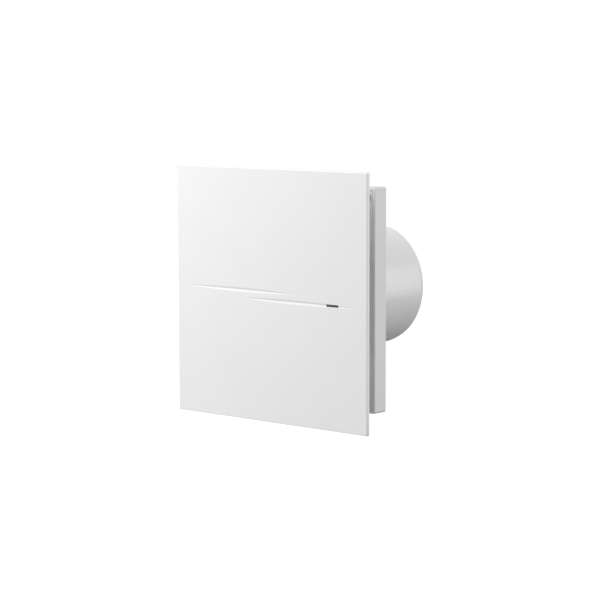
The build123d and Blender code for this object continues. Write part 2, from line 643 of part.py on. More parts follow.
MOUNT_FRONT_Y = MOTOR_REAR_Y
MOUNT_BACK_Y = CRADLE_Y[1] + (CRADLE_PLATE_Y - MOTOR_REAR_Y)
with BuildPart() as motor_mounts:
    with BuildSketch(duct_plane(MOUNT_FRONT_Y)):
        with PolarLocations(MOUNT_PCD_R, 3):
            Circle(BUSH_HEAD_R)
    extrude(amount=CRADLE_PLATE_Y - MOUNT_FRONT_Y)
    with BuildSketch(duct_plane(CRADLE_PLATE_Y)):
        with PolarLocations(MOUNT_PCD_R, 3):
            Circle(BUSH_HOLE_R - BUSH_PLAY)
    extrude(amount=CRADLE_Y[1] - CRADLE_PLATE_Y)
    with BuildSketch(duct_plane(CRADLE_Y[1])):
        with PolarLocations(MOUNT_PCD_R, 3):
            Circle(BUSH_HEAD_R)
    extrude(amount=MOUNT_BACK_Y - CRADLE_Y[1])
    with BuildSketch(duct_plane(MOUNT_FRONT_Y)):
        with PolarLocations(MOUNT_PCD_R, 3):
            Circle(SCREW_PASS_R)
    extrude(amount=MOUNT_BACK_Y - MOUNT_FRONT_Y, mode=Mode.SUBTRACT)
motor_mounts.part.label = "motor_mounts"
export_step(motor_mounts.part, "parts/motor_mounts.step")

WASHER_T = 0.6
with BuildPart(duct_plane(MOUNT_BACK_Y)) as motor_washers:
    with PolarLocations(MOUNT_PCD_R, 3):
        add(washer(4.0, SCREW_PASS_R, WASHER_T))
motor_washers.part.label = "motor_washers"
export_step(motor_washers.part, "parts/motor_washers.step")

with BuildPart(duct_plane(MOUNT_BACK_Y + WASHER_T)) as motor_screws:
    with PolarLocations(MOUNT_PCD_R, 3):
        add(pan_screw(2.8, 1.8, 1.5, 9.0))
motor_screws.part.label = "motor_screws"
export_step(motor_screws.part, "parts/motor_screws.step")

# ================================================================ motor
SEAT_WALL = 1.6
SEAT_LIP_R = 3.6                        # the shaft passes through this opening
SEAT_LIP_T = 0.6
CUP_BORE_R = MOTOR_R - MOTOR_WALL
REAR_SEAT_Y = BEARING_FRONT_Y[1]
NUT_BOSS_R = 3.5
NUT_BOSS_H = 3.3
MOTOR_LEAD_HOLE_R = 1.9
with BuildPart() as motor_housing:
    add(turned([
        (CUP_BORE_R, MOTOR_FRONT_Y),
        (MOTOR_R, MOTOR_FRONT_Y),
        (MOTOR_R, MOTOR_REAR_Y),
        (BEARING_R + SEAT_WALL, MOTOR_REAR_Y),
        (BEARING_R + SEAT_WALL, REAR_SEAT_Y + BEARING_W + SEAT_LIP_T),
        (SEAT_LIP_R, REAR_SEAT_Y + BEARING_W + SEAT_LIP_T),
        (SEAT_LIP_R, REAR_SEAT_Y + BEARING_W),
        (BEARING_R, REAR_SEAT_Y + BEARING_W),
        (BEARING_R, REAR_SEAT_Y - 0.2),
        (BEARING_R + SEAT_WALL, REAR_SEAT_Y - 0.2),
        (BEARING_R + SEAT_WALL, MOTOR_REAR_Y - MOTOR_WALL),
        (CUP_BORE_R, MOTOR_REAR_Y - MOTOR_WALL),
    ]))
    with BuildSketch(duct_plane(MOTOR_REAR_Y - MOTOR_WALL)):
        with PolarLocations(MOUNT_PCD_R, 3):
            Circle(NUT_BOSS_R)
    extrude(amount=-NUT_BOSS_H)
    with BuildSketch(duct_plane(MOTOR_REAR_Y)):
        with PolarLocations(MOUNT_PCD_R, 3):
            Circle(1.5)
    extrude(amount=-5, mode=Mode.SUBTRACT)
    with BuildSketch(Plane.XY.offset(-MOTOR_R - 1)):
        with Locations((0, WIRE_EXIT_Y)):
            Circle(MOTOR_LEAD_HOLE_R)
    extrude(amount=4, mode=Mode.SUBTRACT)
motor_housing.part.label = "motor_housing"
export_step(motor_housing.part, "parts/motor_housing.step")

FRONT_SEAT_Y = BEARING_FRONT_Y[0]
CAP_T = 1.5
CAP_SPIGOT_T = 1.2
VENT_RING_R = 15.5
VENTS = 6
VENT_SIZE = (8.0, 3.4)
with BuildPart() as motor_end_cap:
    add(turned([
        (SEAT_LIP_R, FRONT_SEAT_Y - SEAT_LIP_T),
        (BEARING_R + SEAT_WALL, FRONT_SEAT_Y - SEAT_LIP_T),
        (BEARING_R + SEAT_WALL, MOTOR_FRONT_Y - CAP_T),
        (MOTOR_R, MOTOR_FRONT_Y - CAP_T),
        (MOTOR_R, MOTOR_FRONT_Y),
        (CUP_BORE_R, MOTOR_FRONT_Y),
        (CUP_BORE_R, MOTOR_FRONT_Y + CAP_T),
        (CUP_BORE_R - CAP_SPIGOT_T, MOTOR_FRONT_Y + CAP_T),
        (CUP_BORE_R - CAP_SPIGOT_T, MOTOR_FRONT_Y),
        (BEARING_R, MOTOR_FRONT_Y),
        (BEARING_R, FRONT_SEAT_Y),
        (SEAT_LIP_R, FRONT_SEAT_Y),
    ]))
    with BuildSketch(room_plane(MOTOR_FRONT_Y)):
        with PolarLocations(VENT_RING_R, VENTS):
            SlotOverall(*VENT_SIZE, rotation=90)
    extrude(amount=CAP_T, mode=Mode.SUBTRACT)
motor_end_cap.part.label = "motor_end_cap"
export_step(motor_end_cap.part, "parts/motor_end_cap.step")

YOKE_BORE_R = 19.4
POLE_W = 7.0
SHOE_R = 14.2
SHOE_GAP_W = 3.5
with BuildPart() as stator_core:
    with BuildSketch(room_plane(CORE_Y[1])):
        Circle(CORE_R)
        Circle(YOKE_BORE_R, mode=Mode.SUBTRACT)
        with PolarLocations((SHOE_R + YOKE_BORE_R) / 2, 4, start_angle=45):
            Rectangle(YOKE_BORE_R - SHOE_R + 1.6, POLE_W)
        with BuildSketch(mode=Mode.PRIVATE) as shoes:
            Circle(SHOE_R)
            Circle(AIR_BORE_R, mode=Mode.SUBTRACT)
            with PolarLocations((SHOE_R + AIR_BORE_R) / 2, 4):
                Rectangle(4, SHOE_GAP_W, mode=Mode.SUBTRACT)
        add(shoes.sketch)
    extrude(amount=CORE_Y[1] - CORE_Y[0])
stator_core.part.label = "stator_core"
export_step(stator_core.part, "parts/stator_core.step")

COIL_Y = (15.8, 33.4)
COIL_R = (14.6, 17.6)
COIL_W = 15.0
COIL_CORNER_R = 3.4
COIL_EDGE_R = 0.5
with BuildPart() as stator_windings:
    with BuildSketch(radial_plane(COIL_R[0])):
        with Locations((sum(COIL_Y) / 2, 0)):
            RectangleRounded(COIL_Y[1] - COIL_Y[0], COIL_W, COIL_CORNER_R)
            RectangleRounded(CORE_Y[1] - CORE_Y[0] + 0.5, POLE_W + 0.4, 0.6, mode=Mode.SUBTRACT)
    extrude(amount=COIL_R[1] - COIL_R[0])
    fillet(stator_windings.faces().filter_by(Axis.X).edges().filter_by(GeomType.LINE), COIL_EDGE_R)
    coil = stator_windings.part
    add(coil.rotate(Axis.Y, 45), mode=Mode.REPLACE)
    for quarter in range(1, 4):
        add(coil.rotate(Axis.Y, 45 + 90 * quarter))
stator_windings.part.label = "stator_windings"
export_step(stator_windings.part, "parts/stator_windings.step")

CUTOUT_R = 16.1
CUTOUT_SIZE = (8.0, 2.8, 2.2)
with BuildPart() as thermal_cutout:
    with BuildSketch(duct_plane(COIL_Y[1])):
        with Locations((CUTOUT_R * cos(radians(45)), CUTOUT_R * sin(radians(45)))):
            SlotOverall(CUTOUT_SIZE[0], CUTOUT_SIZE[1], rotation=135)
    extrude(amount=CUTOUT_SIZE[2])
thermal_cutout.part.label = "thermal_cutout"
export_step(thermal_cutout.part, "parts/thermal_cutout.step")

with BuildPart() as bearing_outer_rings:
    for front_y in BEARING_FRONT_Y:
        middle_y = front_y + BEARING_W / 2
        with BuildSketch(Plane.XY):
            with Locations(((BEARING_R + RACE_R[1]) / 2, middle_y)):
                Rectangle(BEARING_R - RACE_R[1], BEARING_W)
            with Locations((BALL_PITCH_R, middle_y)):
                Circle(BALL_R + BALL_PLAY, mode=Mode.SUBTRACT)
        revolve(axis=Axis.Y)
bearing_outer_rings.part.label = "bearing_outer_rings"
export_step(bearing_outer_rings.part, "parts/bearing_outer_rings.step")

with BuildPart() as bearing_inner_rings:
    for front_y in BEARING_FRONT_Y:
        middle_y = front_y + BEARING_W / 2
        with BuildSketch(Plane.XY):
            with Locations(((SHAFT_R + RACE_R[0]) / 2, middle_y)):
                Rectangle(RACE_R[0] - SHAFT_R, BEARING_W)
            with Locations((BALL_PITCH_R, middle_y)):
                Circle(BALL_R + BALL_PLAY, mode=Mode.SUBTRACT)
        revolve(axis=Axis.Y)
bearing_inner_rings.part.label = "bearing_inner_rings"
export_step(bearing_inner_rings.part, "parts/bearing_inner_rings.step")

with BuildPart() as bearing_balls:
    for front_y in BEARING_FRONT_Y:
        with Locations(duct_plane(front_y + BEARING_W / 2)):
            with PolarLocations(BALL_PITCH_R, BALLS):
                Sphere(BALL_R)
bearing_balls.part.label = "bearing_balls"
export_step(bearing_balls.part, "parts/bearing_balls.step")

with BuildPart() as bearing_cages:
    for front_y in BEARING_FRONT_Y:
        middle_y = front_y + BEARING_W / 2
        with BuildSketch(duct_plane(middle_y + CAGE_OFFSET)):
            Circle(CAGE_R[1])
            Circle(CAGE_R[0], mode=Mode.SUBTRACT)
        extrude(amount=CAGE_T)
        with Locations(duct_plane(middle_y)):
            with PolarLocations(BALL_PITCH_R, BALLS):
                Sphere(BALL_R + 0.05, mode=Mode.SUBTRACT)
bearing_cages.part.label = "bearing_cages"
export_step(bearing_cages.part, "parts/bearing_cages.step")

with BuildPart() as motor_shaft:
    with BuildSketch(duct_plane(SHAFT_Y[0])):
        Circle(SHAFT_R)
    extrude(amount=SHAFT_Y[1] - SHAFT_Y[0])
    chamfer(motor_shaft.edges().filter_by(GeomType.CIRCLE), 0.4)
motor_shaft.part.label = "motor_shaft"
export_step(motor_shaft.part, "parts/motor_shaft.step")

with BuildPart() as rotor_core:
    with BuildSketch(room_plane(CORE_Y[1])):
        Circle(ROTOR_R)
        Circle(SHAFT_R, mode=Mode.SUBTRACT)
    extrude(amount=CORE_Y[1] - CORE_Y[0])
rotor_core.part.label = "rotor_core"
export_step(rotor_core.part, "parts/rotor_core.step")

END_RING_T = 1.5
END_RING_R = (8.5, 11.5)
with BuildPart() as rotor_end_rings:
    for start_y in (CORE_Y[0] - END_RING_T, CORE_Y[1]):
        with BuildSketch(duct_plane(start_y)):
            Circle(END_RING_R[1])
            Circle(END_RING_R[0], mode=Mode.SUBTRACT)
        extrude(amount=END_RING_T)
rotor_end_rings.part.label = "rotor_end_rings"
export_step(rotor_end_rings.part, "parts/rotor_end_rings.step")


# ================================================================ impeller
def blade_section(chord, pitch, camber, thickness):
    """Cambered strip, axial position along x and tangential along y, pitched from the disc plane."""
    along = Vector(sin(radians(pitch)), cos(radians(pitch)))
    across = Vector(-along.Y, along.X)
    edge = 0.3 * thickness
    nose, tail = along * (-chord / 2), along * (chord / 2)
    with BuildSketch() as section:
        with BuildLine():
            ThreePointArc(nose + across * edge, across * (camber + thickness / 2), tail + across * edge)
            Line(tail + across * edge, tail - across * edge)
            ThreePointArc(tail - across * edge, across * (camber - thickness / 2), nose - across * edge)
            Line(nose - across * edge, nose + across * edge)
        make_face()
    return section.sketch


BLADE_MID_Y = 4.2
HUB_FLOOR_T = 2.0
HUB_BOSS_R = 6.0
HUB_BOSS_END_Y = 8.5
BLADE_SECTIONS = [                     # distance from axis, chord, pitch, camber, thickness
    (20.0, 23.0, 54.0, 2.4, 2.4),
    (35.0, 26.0, 42.0, 2.2, 1.9),
    (50.0, 29.0, 31.0, 1.8, 1.5),
]
with BuildPart() as impeller:
    for distance, chord, pitch, camber, thickness in BLADE_SECTIONS:
        with BuildSketch(radial_plane(distance)):
            with Locations((BLADE_MID_Y, 0)):
                add(blade_section(chord, pitch, camber, thickness))
    loft()
    with BuildSketch(Plane.XY):
        with Locations(((HUB_R + TIP_R) / 2 - 0.5, BLADE_MID_Y)):
            Rectangle(TIP_R - HUB_R + 1.0, 40)
    revolve(axis=Axis.Y, mode=Mode.INTERSECT)
    blade = impeller.part
    for step in range(1, BLADES):
        add(blade.rotate(Axis.Y, step * 360 / BLADES))
    # Hub cup with the boss that takes the shaft
    add(turned([
        (SHAFT_R, HUB_Y[0]),
        (HUB_R, HUB_Y[0]),
        (HUB_R, HUB_Y[1]),
        (HUB_R - HUB_WALL, HUB_Y[1]),
        (HUB_R - HUB_WALL, HUB_Y[0] + HUB_FLOOR_T),
        (HUB_BOSS_R, HUB_Y[0] + HUB_FLOOR_T),
        (HUB_BOSS_R, HUB_BOSS_END_Y),
        (SHAFT_R, HUB_BOSS_END_Y),
    ]))
impeller.part.label = "impeller"
export_step(impeller.part, "parts/impeller.step")

NOSE_T = 1.5
with BuildPart() as nose_cone:
    with BuildSketch(Plane.XY):
        with BuildLine():
            base_r = HUB_R - 0.2
            tip_h = HUB_Y[0] - NOSE_TIP_Y
            EllipticalCenterArc((0, HUB_Y[0]), base_r, tip_h, start_angle=270, arc_size=90)
            Line((base_r, HUB_Y[0]), (base_r - NOSE_T, HUB_Y[0]))
            EllipticalCenterArc((0, HUB_Y[0]), base_r - NOSE_T, tip_h - NOSE_T, start_angle=270, arc_size=90)
            Line((0, HUB_Y[0] - tip_h + NOSE_T), (0, NOSE_TIP_Y))
        make_face()
    revolve(axis=Axis.Y)
nose_cone.part.label = "nose_cone"
export_step(nose_cone.part, "parts/nose_cone.step")

HUB_CLIP_T = 0.5
with BuildPart(room_plane(HUB_Y[0])) as shaft_clip:
    add(washer(5.5, SHAFT_R, HUB_CLIP_T))
shaft_clip.part.label = "shaft_clip"
export_step(shaft_clip.part, "parts/shaft_clip.step")

# ================================================================ back-draught damper
MULLION_HALF_W = 4.0
MULLION_Y = (47.7, 49.2)
LUG_R = 2.6
LUG_START_Z = 41.5
LUG_END_Z = DAMPER_R[0] + 0.8
with BuildPart() as damper_frame:
    add(turned([
        (SEAT_R, DAMPER_Y[0]),
        (DAMPER_R[1], DAMPER_Y[0]),
        (DAMPER_R[1], DAMPER_Y[1]),
        (DAMPER_R[0], DAMPER_Y[1]),
        (DAMPER_R[0], SEAT_Y),
        (SEAT_R, SEAT_Y),
    ]))
    # Upright bar ahead of the hinge, and a lug at each end of the pin
    with BuildSketch(duct_plane(MULLION_Y[0])):
        Rectangle(2 * MULLION_HALF_W, 2 * SEAT_R + 1)
    extrude(amount=MULLION_Y[1] - MULLION_Y[0])
    for start_z in (LUG_START_Z, -LUG_END_Z):
        with BuildSketch(Plane.XY.offset(start_z)):
            with Locations((0, PIN_Y)):
                Circle(LUG_R)
        extrude(amount=LUG_END_Z - LUG_START_Z)
    with BuildSketch(Plane.XY.offset(-PIN_HALF_LENGTH)):
        with Locations((0, PIN_Y)):
            Circle(PIN_R)
    extrude(amount=2 * PIN_HALF_LENGTH, mode=Mode.SUBTRACT)
damper_frame.part.label = "damper_frame"
export_step(damper_frame.part, "parts/damper_frame.step")

with BuildPart() as damper_pin:
    with BuildSketch(Plane.XY.offset(-PIN_HALF_LENGTH)):
        with Locations((0, PIN_Y)):
            Circle(PIN_R)
    extrude(amount=2 * PIN_HALF_LENGTH)
damper_pin.part.label = "damper_pin"
export_step(damper_pin.part, "parts/damper_pin.step")


def flap(side, knuckles):
    """Half-disc flap on the side of +X (side = 1) or -X (side = -1), with knuckles round the pin.

    knuckles lists the (low z, high z) span of each one.
    """
    with BuildPart() as body:
        with BuildSketch(room_plane(FLAP_BACK_Y)):
            Circle(FLAP_R)
            with Locations((side * (FLAP_EDGE_X - FLAP_R), 0)):
                Rectangle(2 * FLAP_R, 3 * FLAP_R, mode=Mode.SUBTRACT)
            for low, high in knuckles:
                with Locations((side * (FLAP_EDGE_X + 1) / 2, (low + high) / 2)):
                    Rectangle(FLAP_EDGE_X + 1, high - low)
        extrude(amount=FLAP_T)
        # Two stiffening ribs across the back
        rib_x = side * FLAP_RIB_AT[0]
        with BuildSketch(room_plane(FLAP_BACK_Y + FLAP_RIB_SIZE[2])):
            with Locations((rib_x, FLAP_RIB_AT[1]), (rib_x, -FLAP_RIB_AT[1])):
                Rectangle(FLAP_RIB_SIZE[0], FLAP_RIB_SIZE[1])
        extrude(amount=FLAP_RIB_SIZE[2])
        for low, high in knuckles:
            with BuildSketch(Plane.XY.offset(low)):
                with Locations((0, PIN_Y)):
                    Circle(KNUCKLE_R)
            extrude(amount=high - low)
        with BuildSketch(Plane.XY.offset(-PIN_HALF_LENGTH)):
            with Locations((0, PIN_Y)):
                Circle(PIN_R + PIN_PLAY)
        extrude(amount=2 * PIN_HALF_LENGTH, mode=Mode.SUBTRACT)
    return body.part


with BuildPart() as damper_flap_right:
    add(flap(1, [(-20, -10), (30, 40)]))
damper_flap_right.part.label = "damper_flap_right"
export_step(damper_flap_right.part, "parts/damper_flap_right.step")

with BuildPart() as damper_flap_left:
    add(flap(-1, [(10, 20), (-40, -30)]))
damper_flap_left.part.label = "damper_flap_left"
export_step(damper_flap_left.part, "parts/damper_flap_left.step")

SPRING_R = 1.9
SPRING_WIRE_R = 0.22
SPRING_PITCH = 0.7
SPRING_TURNS = 6
SPRING_ARM_LENGTH = 11.5
ARM_START_X = 1.5                      # where the arm leaves the coil, clear of the pin


def torsion_spring(side, low_z):
    """Closing spring round the pin: one arm lies on the back of a flap, one on the upright bar."""
    height = SPRING_PITCH * SPRING_TURNS
    with BuildPart() as spring:
        with BuildLine() as coil_line:
            Helix(SPRING_PITCH, height, SPRING_R, center=(0, PIN_Y, low_z))
        start = coil_line.line @ 0
        with BuildSketch(Plane(origin=start, z_dir=coil_line.line % 0)):
            Circle(SPRING_WIRE_R)
        sweep(path=coil_line.line)
        # Arm along the flap, from the top of the coil
        with Locations((side * ARM_START_X, FLAP_BACK_Y + SPRING_WIRE_R, low_z + height)):
            Cylinder(SPRING_WIRE_R, SPRING_ARM_LENGTH, rotation=(0, side * 90, 0),
                     align=(Align.CENTER, Align.CENTER, Align.MIN))
        # Arm down to the bar, from the bottom of the coil
        with Locations((-side * SPRING_R, MULLION_Y[1], low_z)):
            Cylinder(SPRING_WIRE_R, PIN_Y - MULLION_Y[1], rotation=(-90, 0, 0),
                     align=(Align.CENTER, Align.CENTER, Align.MIN))
    return spring.part


with BuildPart() as damper_spring_right:
    add(torsion_spring(1, 22.5))
damper_spring_right.part.label = "damper_spring_right"
export_step(damper_spring_right.part, "parts/damper_spring_right.step")

with BuildPart() as damper_spring_left:
    add(torsion_spring(-1, -27.0))
damper_spring_left.part.label = "damper_spring_left"
export_step(damper_spring_left.part, "parts/damper_spring_left.step")

# ================================================================ electrical pieces
CHANNEL_SIZE = (5.2, 5.6)
CHANNEL_MID_Y = -9.0
WELL_R = 2.1                           # wells over the clamp screws
BLOCK_SCREW_DEPTH = 4.5
BLOCK_SCREW_WELL_R = 1.4
POLE_GAP_W = 1.2
with BuildPart() as terminal_block:
    with BuildSketch(room_plane(BLOCK_Y[1])):
        with Locations(BLOCK_AT):
            RectangleRounded(*BLOCK_SIZE, 1)
    extrude(amount=BLOCK_Y[1] - BLOCK_Y[0])
    # Channels for the clamps, screw wells, gaps between the poles
    with BuildSketch(Plane.XY.offset(BLOCK_AT[1] - BLOCK_SIZE[1] / 2)):
        with Locations(*[(x, CHANNEL_MID_Y) for x in POLE_XS]):
            Rectangle(*CHANNEL_SIZE)
    extrude(amount=BLOCK_SIZE[1], mode=Mode.SUBTRACT)
    with BuildSketch(room_plane(CHANNEL_MID_Y)):
        with Locations(*[(x, BLOCK_AT[1]) for x in POLE_XS]):
            Circle(WELL_R)
    extrude(amount=CHANNEL_MID_Y - BLOCK_Y[0], mode=Mode.SUBTRACT)
    with BuildSketch(room_plane(BLOCK_Y[0] + BLOCK_SCREW_DEPTH)):
        with Locations(*BLOCK_SCREW_POINTS):
            Rectangle(POLE_GAP_W, BLOCK_SIZE[1])
            Circle(BLOCK_SCREW_WELL_R)
    extrude(amount=BLOCK_SCREW_DEPTH, mode=Mode.SUBTRACT)
    with BuildSketch(room_plane(BLOCK_Y[1])):
        with Locations(*BLOCK_SCREW_POINTS):
            Circle(1.1)
    extrude(amount=BLOCK_Y[1] - BLOCK_Y[0], mode=Mode.SUBTRACT)
terminal_block.part.label = "terminal_block"
export_step(terminal_block.part, "parts/terminal_block.step")

CLAMP_LENGTH = 10.0
CLAMP_BORE_R = 1.5
CLAMP_THREAD_R = 1.2
with BuildPart() as terminal_clamps:
    with BuildSketch(Plane.XY.offset(BLOCK_AT[1] - CLAMP_LENGTH / 2)):
        with Locations(*[(x, CHANNEL_MID_Y) for x in POLE_XS]):
            RectangleRounded(CHANNEL_SIZE[0] - 0.2, CHANNEL_SIZE[1] - 0.2, 0.5)
            Circle(CLAMP_BORE_R, mode=Mode.SUBTRACT)
    extrude(amount=CLAMP_LENGTH)
    with BuildSketch(room_plane(CHANNEL_MID_Y)):
        with Locations(*[(x, BLOCK_AT[1]) for x in POLE_XS]):
            Circle(CLAMP_THREAD_R)
    extrude(amount=4, mode=Mode.SUBTRACT)
terminal_clamps.part.label = "terminal_clamps"
export_step(terminal_clamps.part, "parts/terminal_clamps.step")

with BuildPart(room_plane(CHANNEL_MID_Y - CHANNEL_SIZE[1] / 2)) as terminal_screws:
    with Locations(*[(x, BLOCK_AT[1]) for x in POLE_XS]):
        add(pan_screw(1.9, 1.5, 1.2, 1.9))
terminal_screws.part.label = "terminal_screws"
export_step(terminal_screws.part, "parts/terminal_screws.step")

with BuildPart(room_plane(BLOCK_Y[0] + BLOCK_SCREW_DEPTH)) as terminal_block_screws:
    with Locations(*BLOCK_SCREW_POINTS):
        add(pan_screw(1.35, 1.2, 1.0, 9.0))
terminal_block_screws.part.label = "terminal_block_screws"
export_step(terminal_block_screws.part, "parts/terminal_block_screws.step")

LID_T = 1.6
LID_FRONT_Y = -21.0
LID_PLATE_SIZE = (51.0, 21.4)
LID_PLATE_X = -5.5
LID_SIZE = (36.0, 19.4)
LID_WALL = 1.5
LID_CORNER_R = 3.0
LID_EDGE_R = 1.5
with BuildPart() as terminal_cover:
    with BuildSketch(room_plane(CASING_FRONT_Y)):
        with Locations((LID_PLATE_X, BLOCK_AT[1])):
            RectangleRounded(*LID_PLATE_SIZE, LID_CORNER_R)
    extrude(amount=LID_T)
    with BuildSketch(room_plane(CASING_FRONT_Y - LID_T)):
        with Locations(BLOCK_AT):
            RectangleRounded(*LID_SIZE, LID_CORNER_R)
    extrude(amount=CASING_FRONT_Y - LID_T - LID_FRONT_Y)
    fillet(terminal_cover.faces().sort_by(Axis.Y)[0].edges(), LID_EDGE_R)
    with BuildSketch(room_plane(CASING_FRONT_Y)):
        with Locations(BLOCK_AT):
            RectangleRounded(LID_SIZE[0] - 2 * LID_WALL, LID_SIZE[1] - 2 * LID_WALL, LID_CORNER_R - 1)
    extrude(amount=CASING_FRONT_Y - LID_FRONT_Y - LID_T, mode=Mode.SUBTRACT)
    with BuildSketch(room_plane(CASING_FRONT_Y)):
        with Locations(LID_SCREW_AT):
            Circle(SCREW_PASS_R)
    extrude(amount=LID_T, mode=Mode.SUBTRACT)
terminal_cover.part.label = "terminal_cover"
export_step(terminal_cover.part, "parts/terminal_cover.step")

with BuildPart(room_plane(CASING_FRONT_Y - LID_T)) as terminal_cover_screw:
    with Locations(LID_SCREW_AT):
        add(pan_screw(2.8, 1.7, 1.1, 7.5))
terminal_cover_screw.part.label = "terminal_cover_screw"
export_step(terminal_cover_screw.part, "parts/terminal_cover_screw.step")

GROMMET_FLANGE_T = 2.0
GROMMET_FLANGE_R = 8.0
GROMMET_EDGE_R = 0.7
with BuildPart(room_plane(0)) as cable_grommet:
    with Locations((*CABLE_AT, 0)):
        Cylinder(CABLE_HOLE_R - 0.1, BACK_T, align=(Align.CENTER, Align.CENTER, Align.MIN))
    with Locations((*CABLE_AT, BACK_T)):
        Cylinder(GROMMET_FLANGE_R, GROMMET_FLANGE_T, align=(Align.CENTER, Align.CENTER, Align.MIN))
    fillet(cable_grommet.edges().filter_by(GeomType.CIRCLE).sort_by(Axis.Y)[0], GROMMET_EDGE_R)
    with Locations((*CABLE_AT, 0)):
        Cylinder(CABLE_BORE_R, BACK_T + GROMMET_FLANGE_T, align=(Align.CENTER, Align.CENTER, Align.MIN),
                 mode=Mode.SUBTRACT)
cable_grommet.part.label = "cable_grommet"
export_step(cable_grommet.part, "parts/cable_grommet.step")

CLAMP_Y = -BACK_T - CLAMP_POST_H
CLAMP_BAR_T = 1.8
CLAMP_BAR_W = 5.0
ARCH_R = (2.8, 4.2)
with BuildPart() as cable_clamp:
    with BuildSketch(room_plane(CLAMP_Y)):
        with Locations(CLAMP_AT):
            RectangleRounded(CLAMP_BAR_W, CLAMP_SCREW_PITCH + CLAMP_BAR_W, 1.5)
    extrude(amount=CLAMP_BAR_T)
    # Arch over the cable
    with BuildSketch(Plane.YZ.offset(CLAMP_AT[0] - CLAMP_BAR_W / 2)):
        with Locations((CLAMP_Y, CLAMP_AT[1])):
            Circle(ARCH_R[1])
            with Locations((ARCH_R[1], 0)):
                Rectangle(2 * ARCH_R[1], 3 * ARCH_R[1], mode=Mode.SUBTRACT)
    extrude(amount=CLAMP_BAR_W)
    with BuildSketch(Plane.YZ.offset(CLAMP_AT[0] - CLAMP_BAR_W / 2)):
        with Locations((CLAMP_Y, CLAMP_AT[1])):
            Circle(ARCH_R[0])
    extrude(amount=CLAMP_BAR_W, mode=Mode.SUBTRACT)
    with BuildSketch(room_plane(CLAMP_Y)):
        with Locations(*CLAMP_SCREW_POINTS):
            Circle(1.5)
    extrude(amount=CLAMP_BAR_T, mode=Mode.SUBTRACT)
cable_clamp.part.label = "cable_clamp"
export_step(cable_clamp.part, "parts/cable_clamp.step")

with BuildPart(room_plane(CLAMP_Y - CLAMP_BAR_T)) as cable_clamp_screws:
    with Locations(*CLAMP_SCREW_POINTS):
        add(pan_screw(2.3, 1.4, 1.1, 6.5))
cable_clamp_screws.part.label = "cable_clamp_screws"
export_step(cable_clamp_screws.part, "parts/cable_clamp_screws.step")

with BuildPart() as run_capacitor:
    with BuildSketch(room_plane(-BACK_T)):
        with Locations(CAPACITOR_AT):
            RectangleRounded(CAPACITOR_SIZE[0], CAPACITOR_SIZE[1], CAPACITOR_CORNER_R)
    extrude(amount=CAPACITOR_SIZE[2])
    fillet(run_capacitor.faces().sort_by(Axis.Y)[0].edges(), CAPACITOR_EDGE_R)
run_capacitor.part.label = "run_capacitor"
export_step(run_capacitor.part, "parts/run_capacitor.step")


# ---------------------------------------------------------------- wiring
def wire(points, bend_radii):
    """Round insulated core along straight runs joined by tangent arcs."""
    with BuildPart() as core:
        with BuildLine() as route:
            FilletPolyline(*points, radius=bend_radii)
        with BuildSketch(Plane(origin=route.line @ 0, z_dir=route.line % 0)):
            Circle(WIRE_R)
        sweep(path=route.line)
    length = sum(edge.length for edge in route.edges())
    print("wire bends (mm):", bend_radii, "length:", round(length, 1))
    return core.part


WIRE_TRAY_Y = -5.0
LEAD_START_Z = -17.0
LEAD_DIP_Z = -60.0
LEAD_RISE_Z = -64.5
LEAD_BENDS = [1.5, 1.5, 2.0, 2.0]
TERMINAL_ENTRY_Z = BLOCK_AT[1] + CLAMP_LENGTH / 2
with BuildPart() as motor_lead:
    for side in (-1, 1):
        x = side * WIRE_OFFSET
        pole_x = side * POLE_PITCH
        add(wire(
            [
                (x, WIRE_EXIT_Y, LEAD_START_Z),
                (x, WIRE_EXIT_Y, -WIRE_R_IN_GROOVE),
                (x, WIRE_TRAY_Y, -WIRE_R_IN_GROOVE),
                (x, WIRE_TRAY_Y, LEAD_DIP_Z),
                (pole_x, CHANNEL_MID_Y, LEAD_RISE_Z),
                (pole_x, CHANNEL_MID_Y, TERMINAL_ENTRY_Z - 3),
            ],
            LEAD_BENDS,
        ))
motor_lead.part.label = "motor_lead"
export_step(motor_lead.part, "parts/motor_lead.step")
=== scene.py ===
"""Looks of the bathroom extractor fan: finishes, the carved front panel, the wound coils, studio and camera.

Lengths are in millimetres, as on a drawing, and MM turns them into metres. The studio's and the camera's
are in metres.
"""
import math

import bmesh
import bpy
from mathutils import Matrix, Vector


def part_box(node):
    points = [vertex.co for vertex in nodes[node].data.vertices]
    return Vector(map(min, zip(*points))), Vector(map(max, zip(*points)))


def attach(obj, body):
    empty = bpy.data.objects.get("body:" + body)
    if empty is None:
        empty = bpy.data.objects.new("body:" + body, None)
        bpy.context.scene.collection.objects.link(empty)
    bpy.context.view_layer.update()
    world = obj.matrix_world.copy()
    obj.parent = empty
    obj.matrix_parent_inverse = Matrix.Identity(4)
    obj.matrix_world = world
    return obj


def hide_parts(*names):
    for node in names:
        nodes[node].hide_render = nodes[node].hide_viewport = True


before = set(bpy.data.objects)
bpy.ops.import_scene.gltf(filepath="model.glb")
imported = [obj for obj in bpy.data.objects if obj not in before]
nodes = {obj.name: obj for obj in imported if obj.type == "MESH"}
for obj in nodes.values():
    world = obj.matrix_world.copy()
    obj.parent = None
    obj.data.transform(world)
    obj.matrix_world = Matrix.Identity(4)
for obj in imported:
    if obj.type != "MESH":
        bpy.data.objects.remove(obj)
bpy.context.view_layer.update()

MM = 0.001

# ---------------------------------------------------------------- sizes of the Blender pieces
# Front panel: sides that slope in towards its front, and an edge rounded at the front and the back
PANEL_T = 3.0
PANEL_CORNER_R = 1.2
PANEL_EDGE_R = 0.35
PANEL_DRAFT = 0.35                      # how far the sides slope in
PANEL_BACK_EDGE_R = 0.3

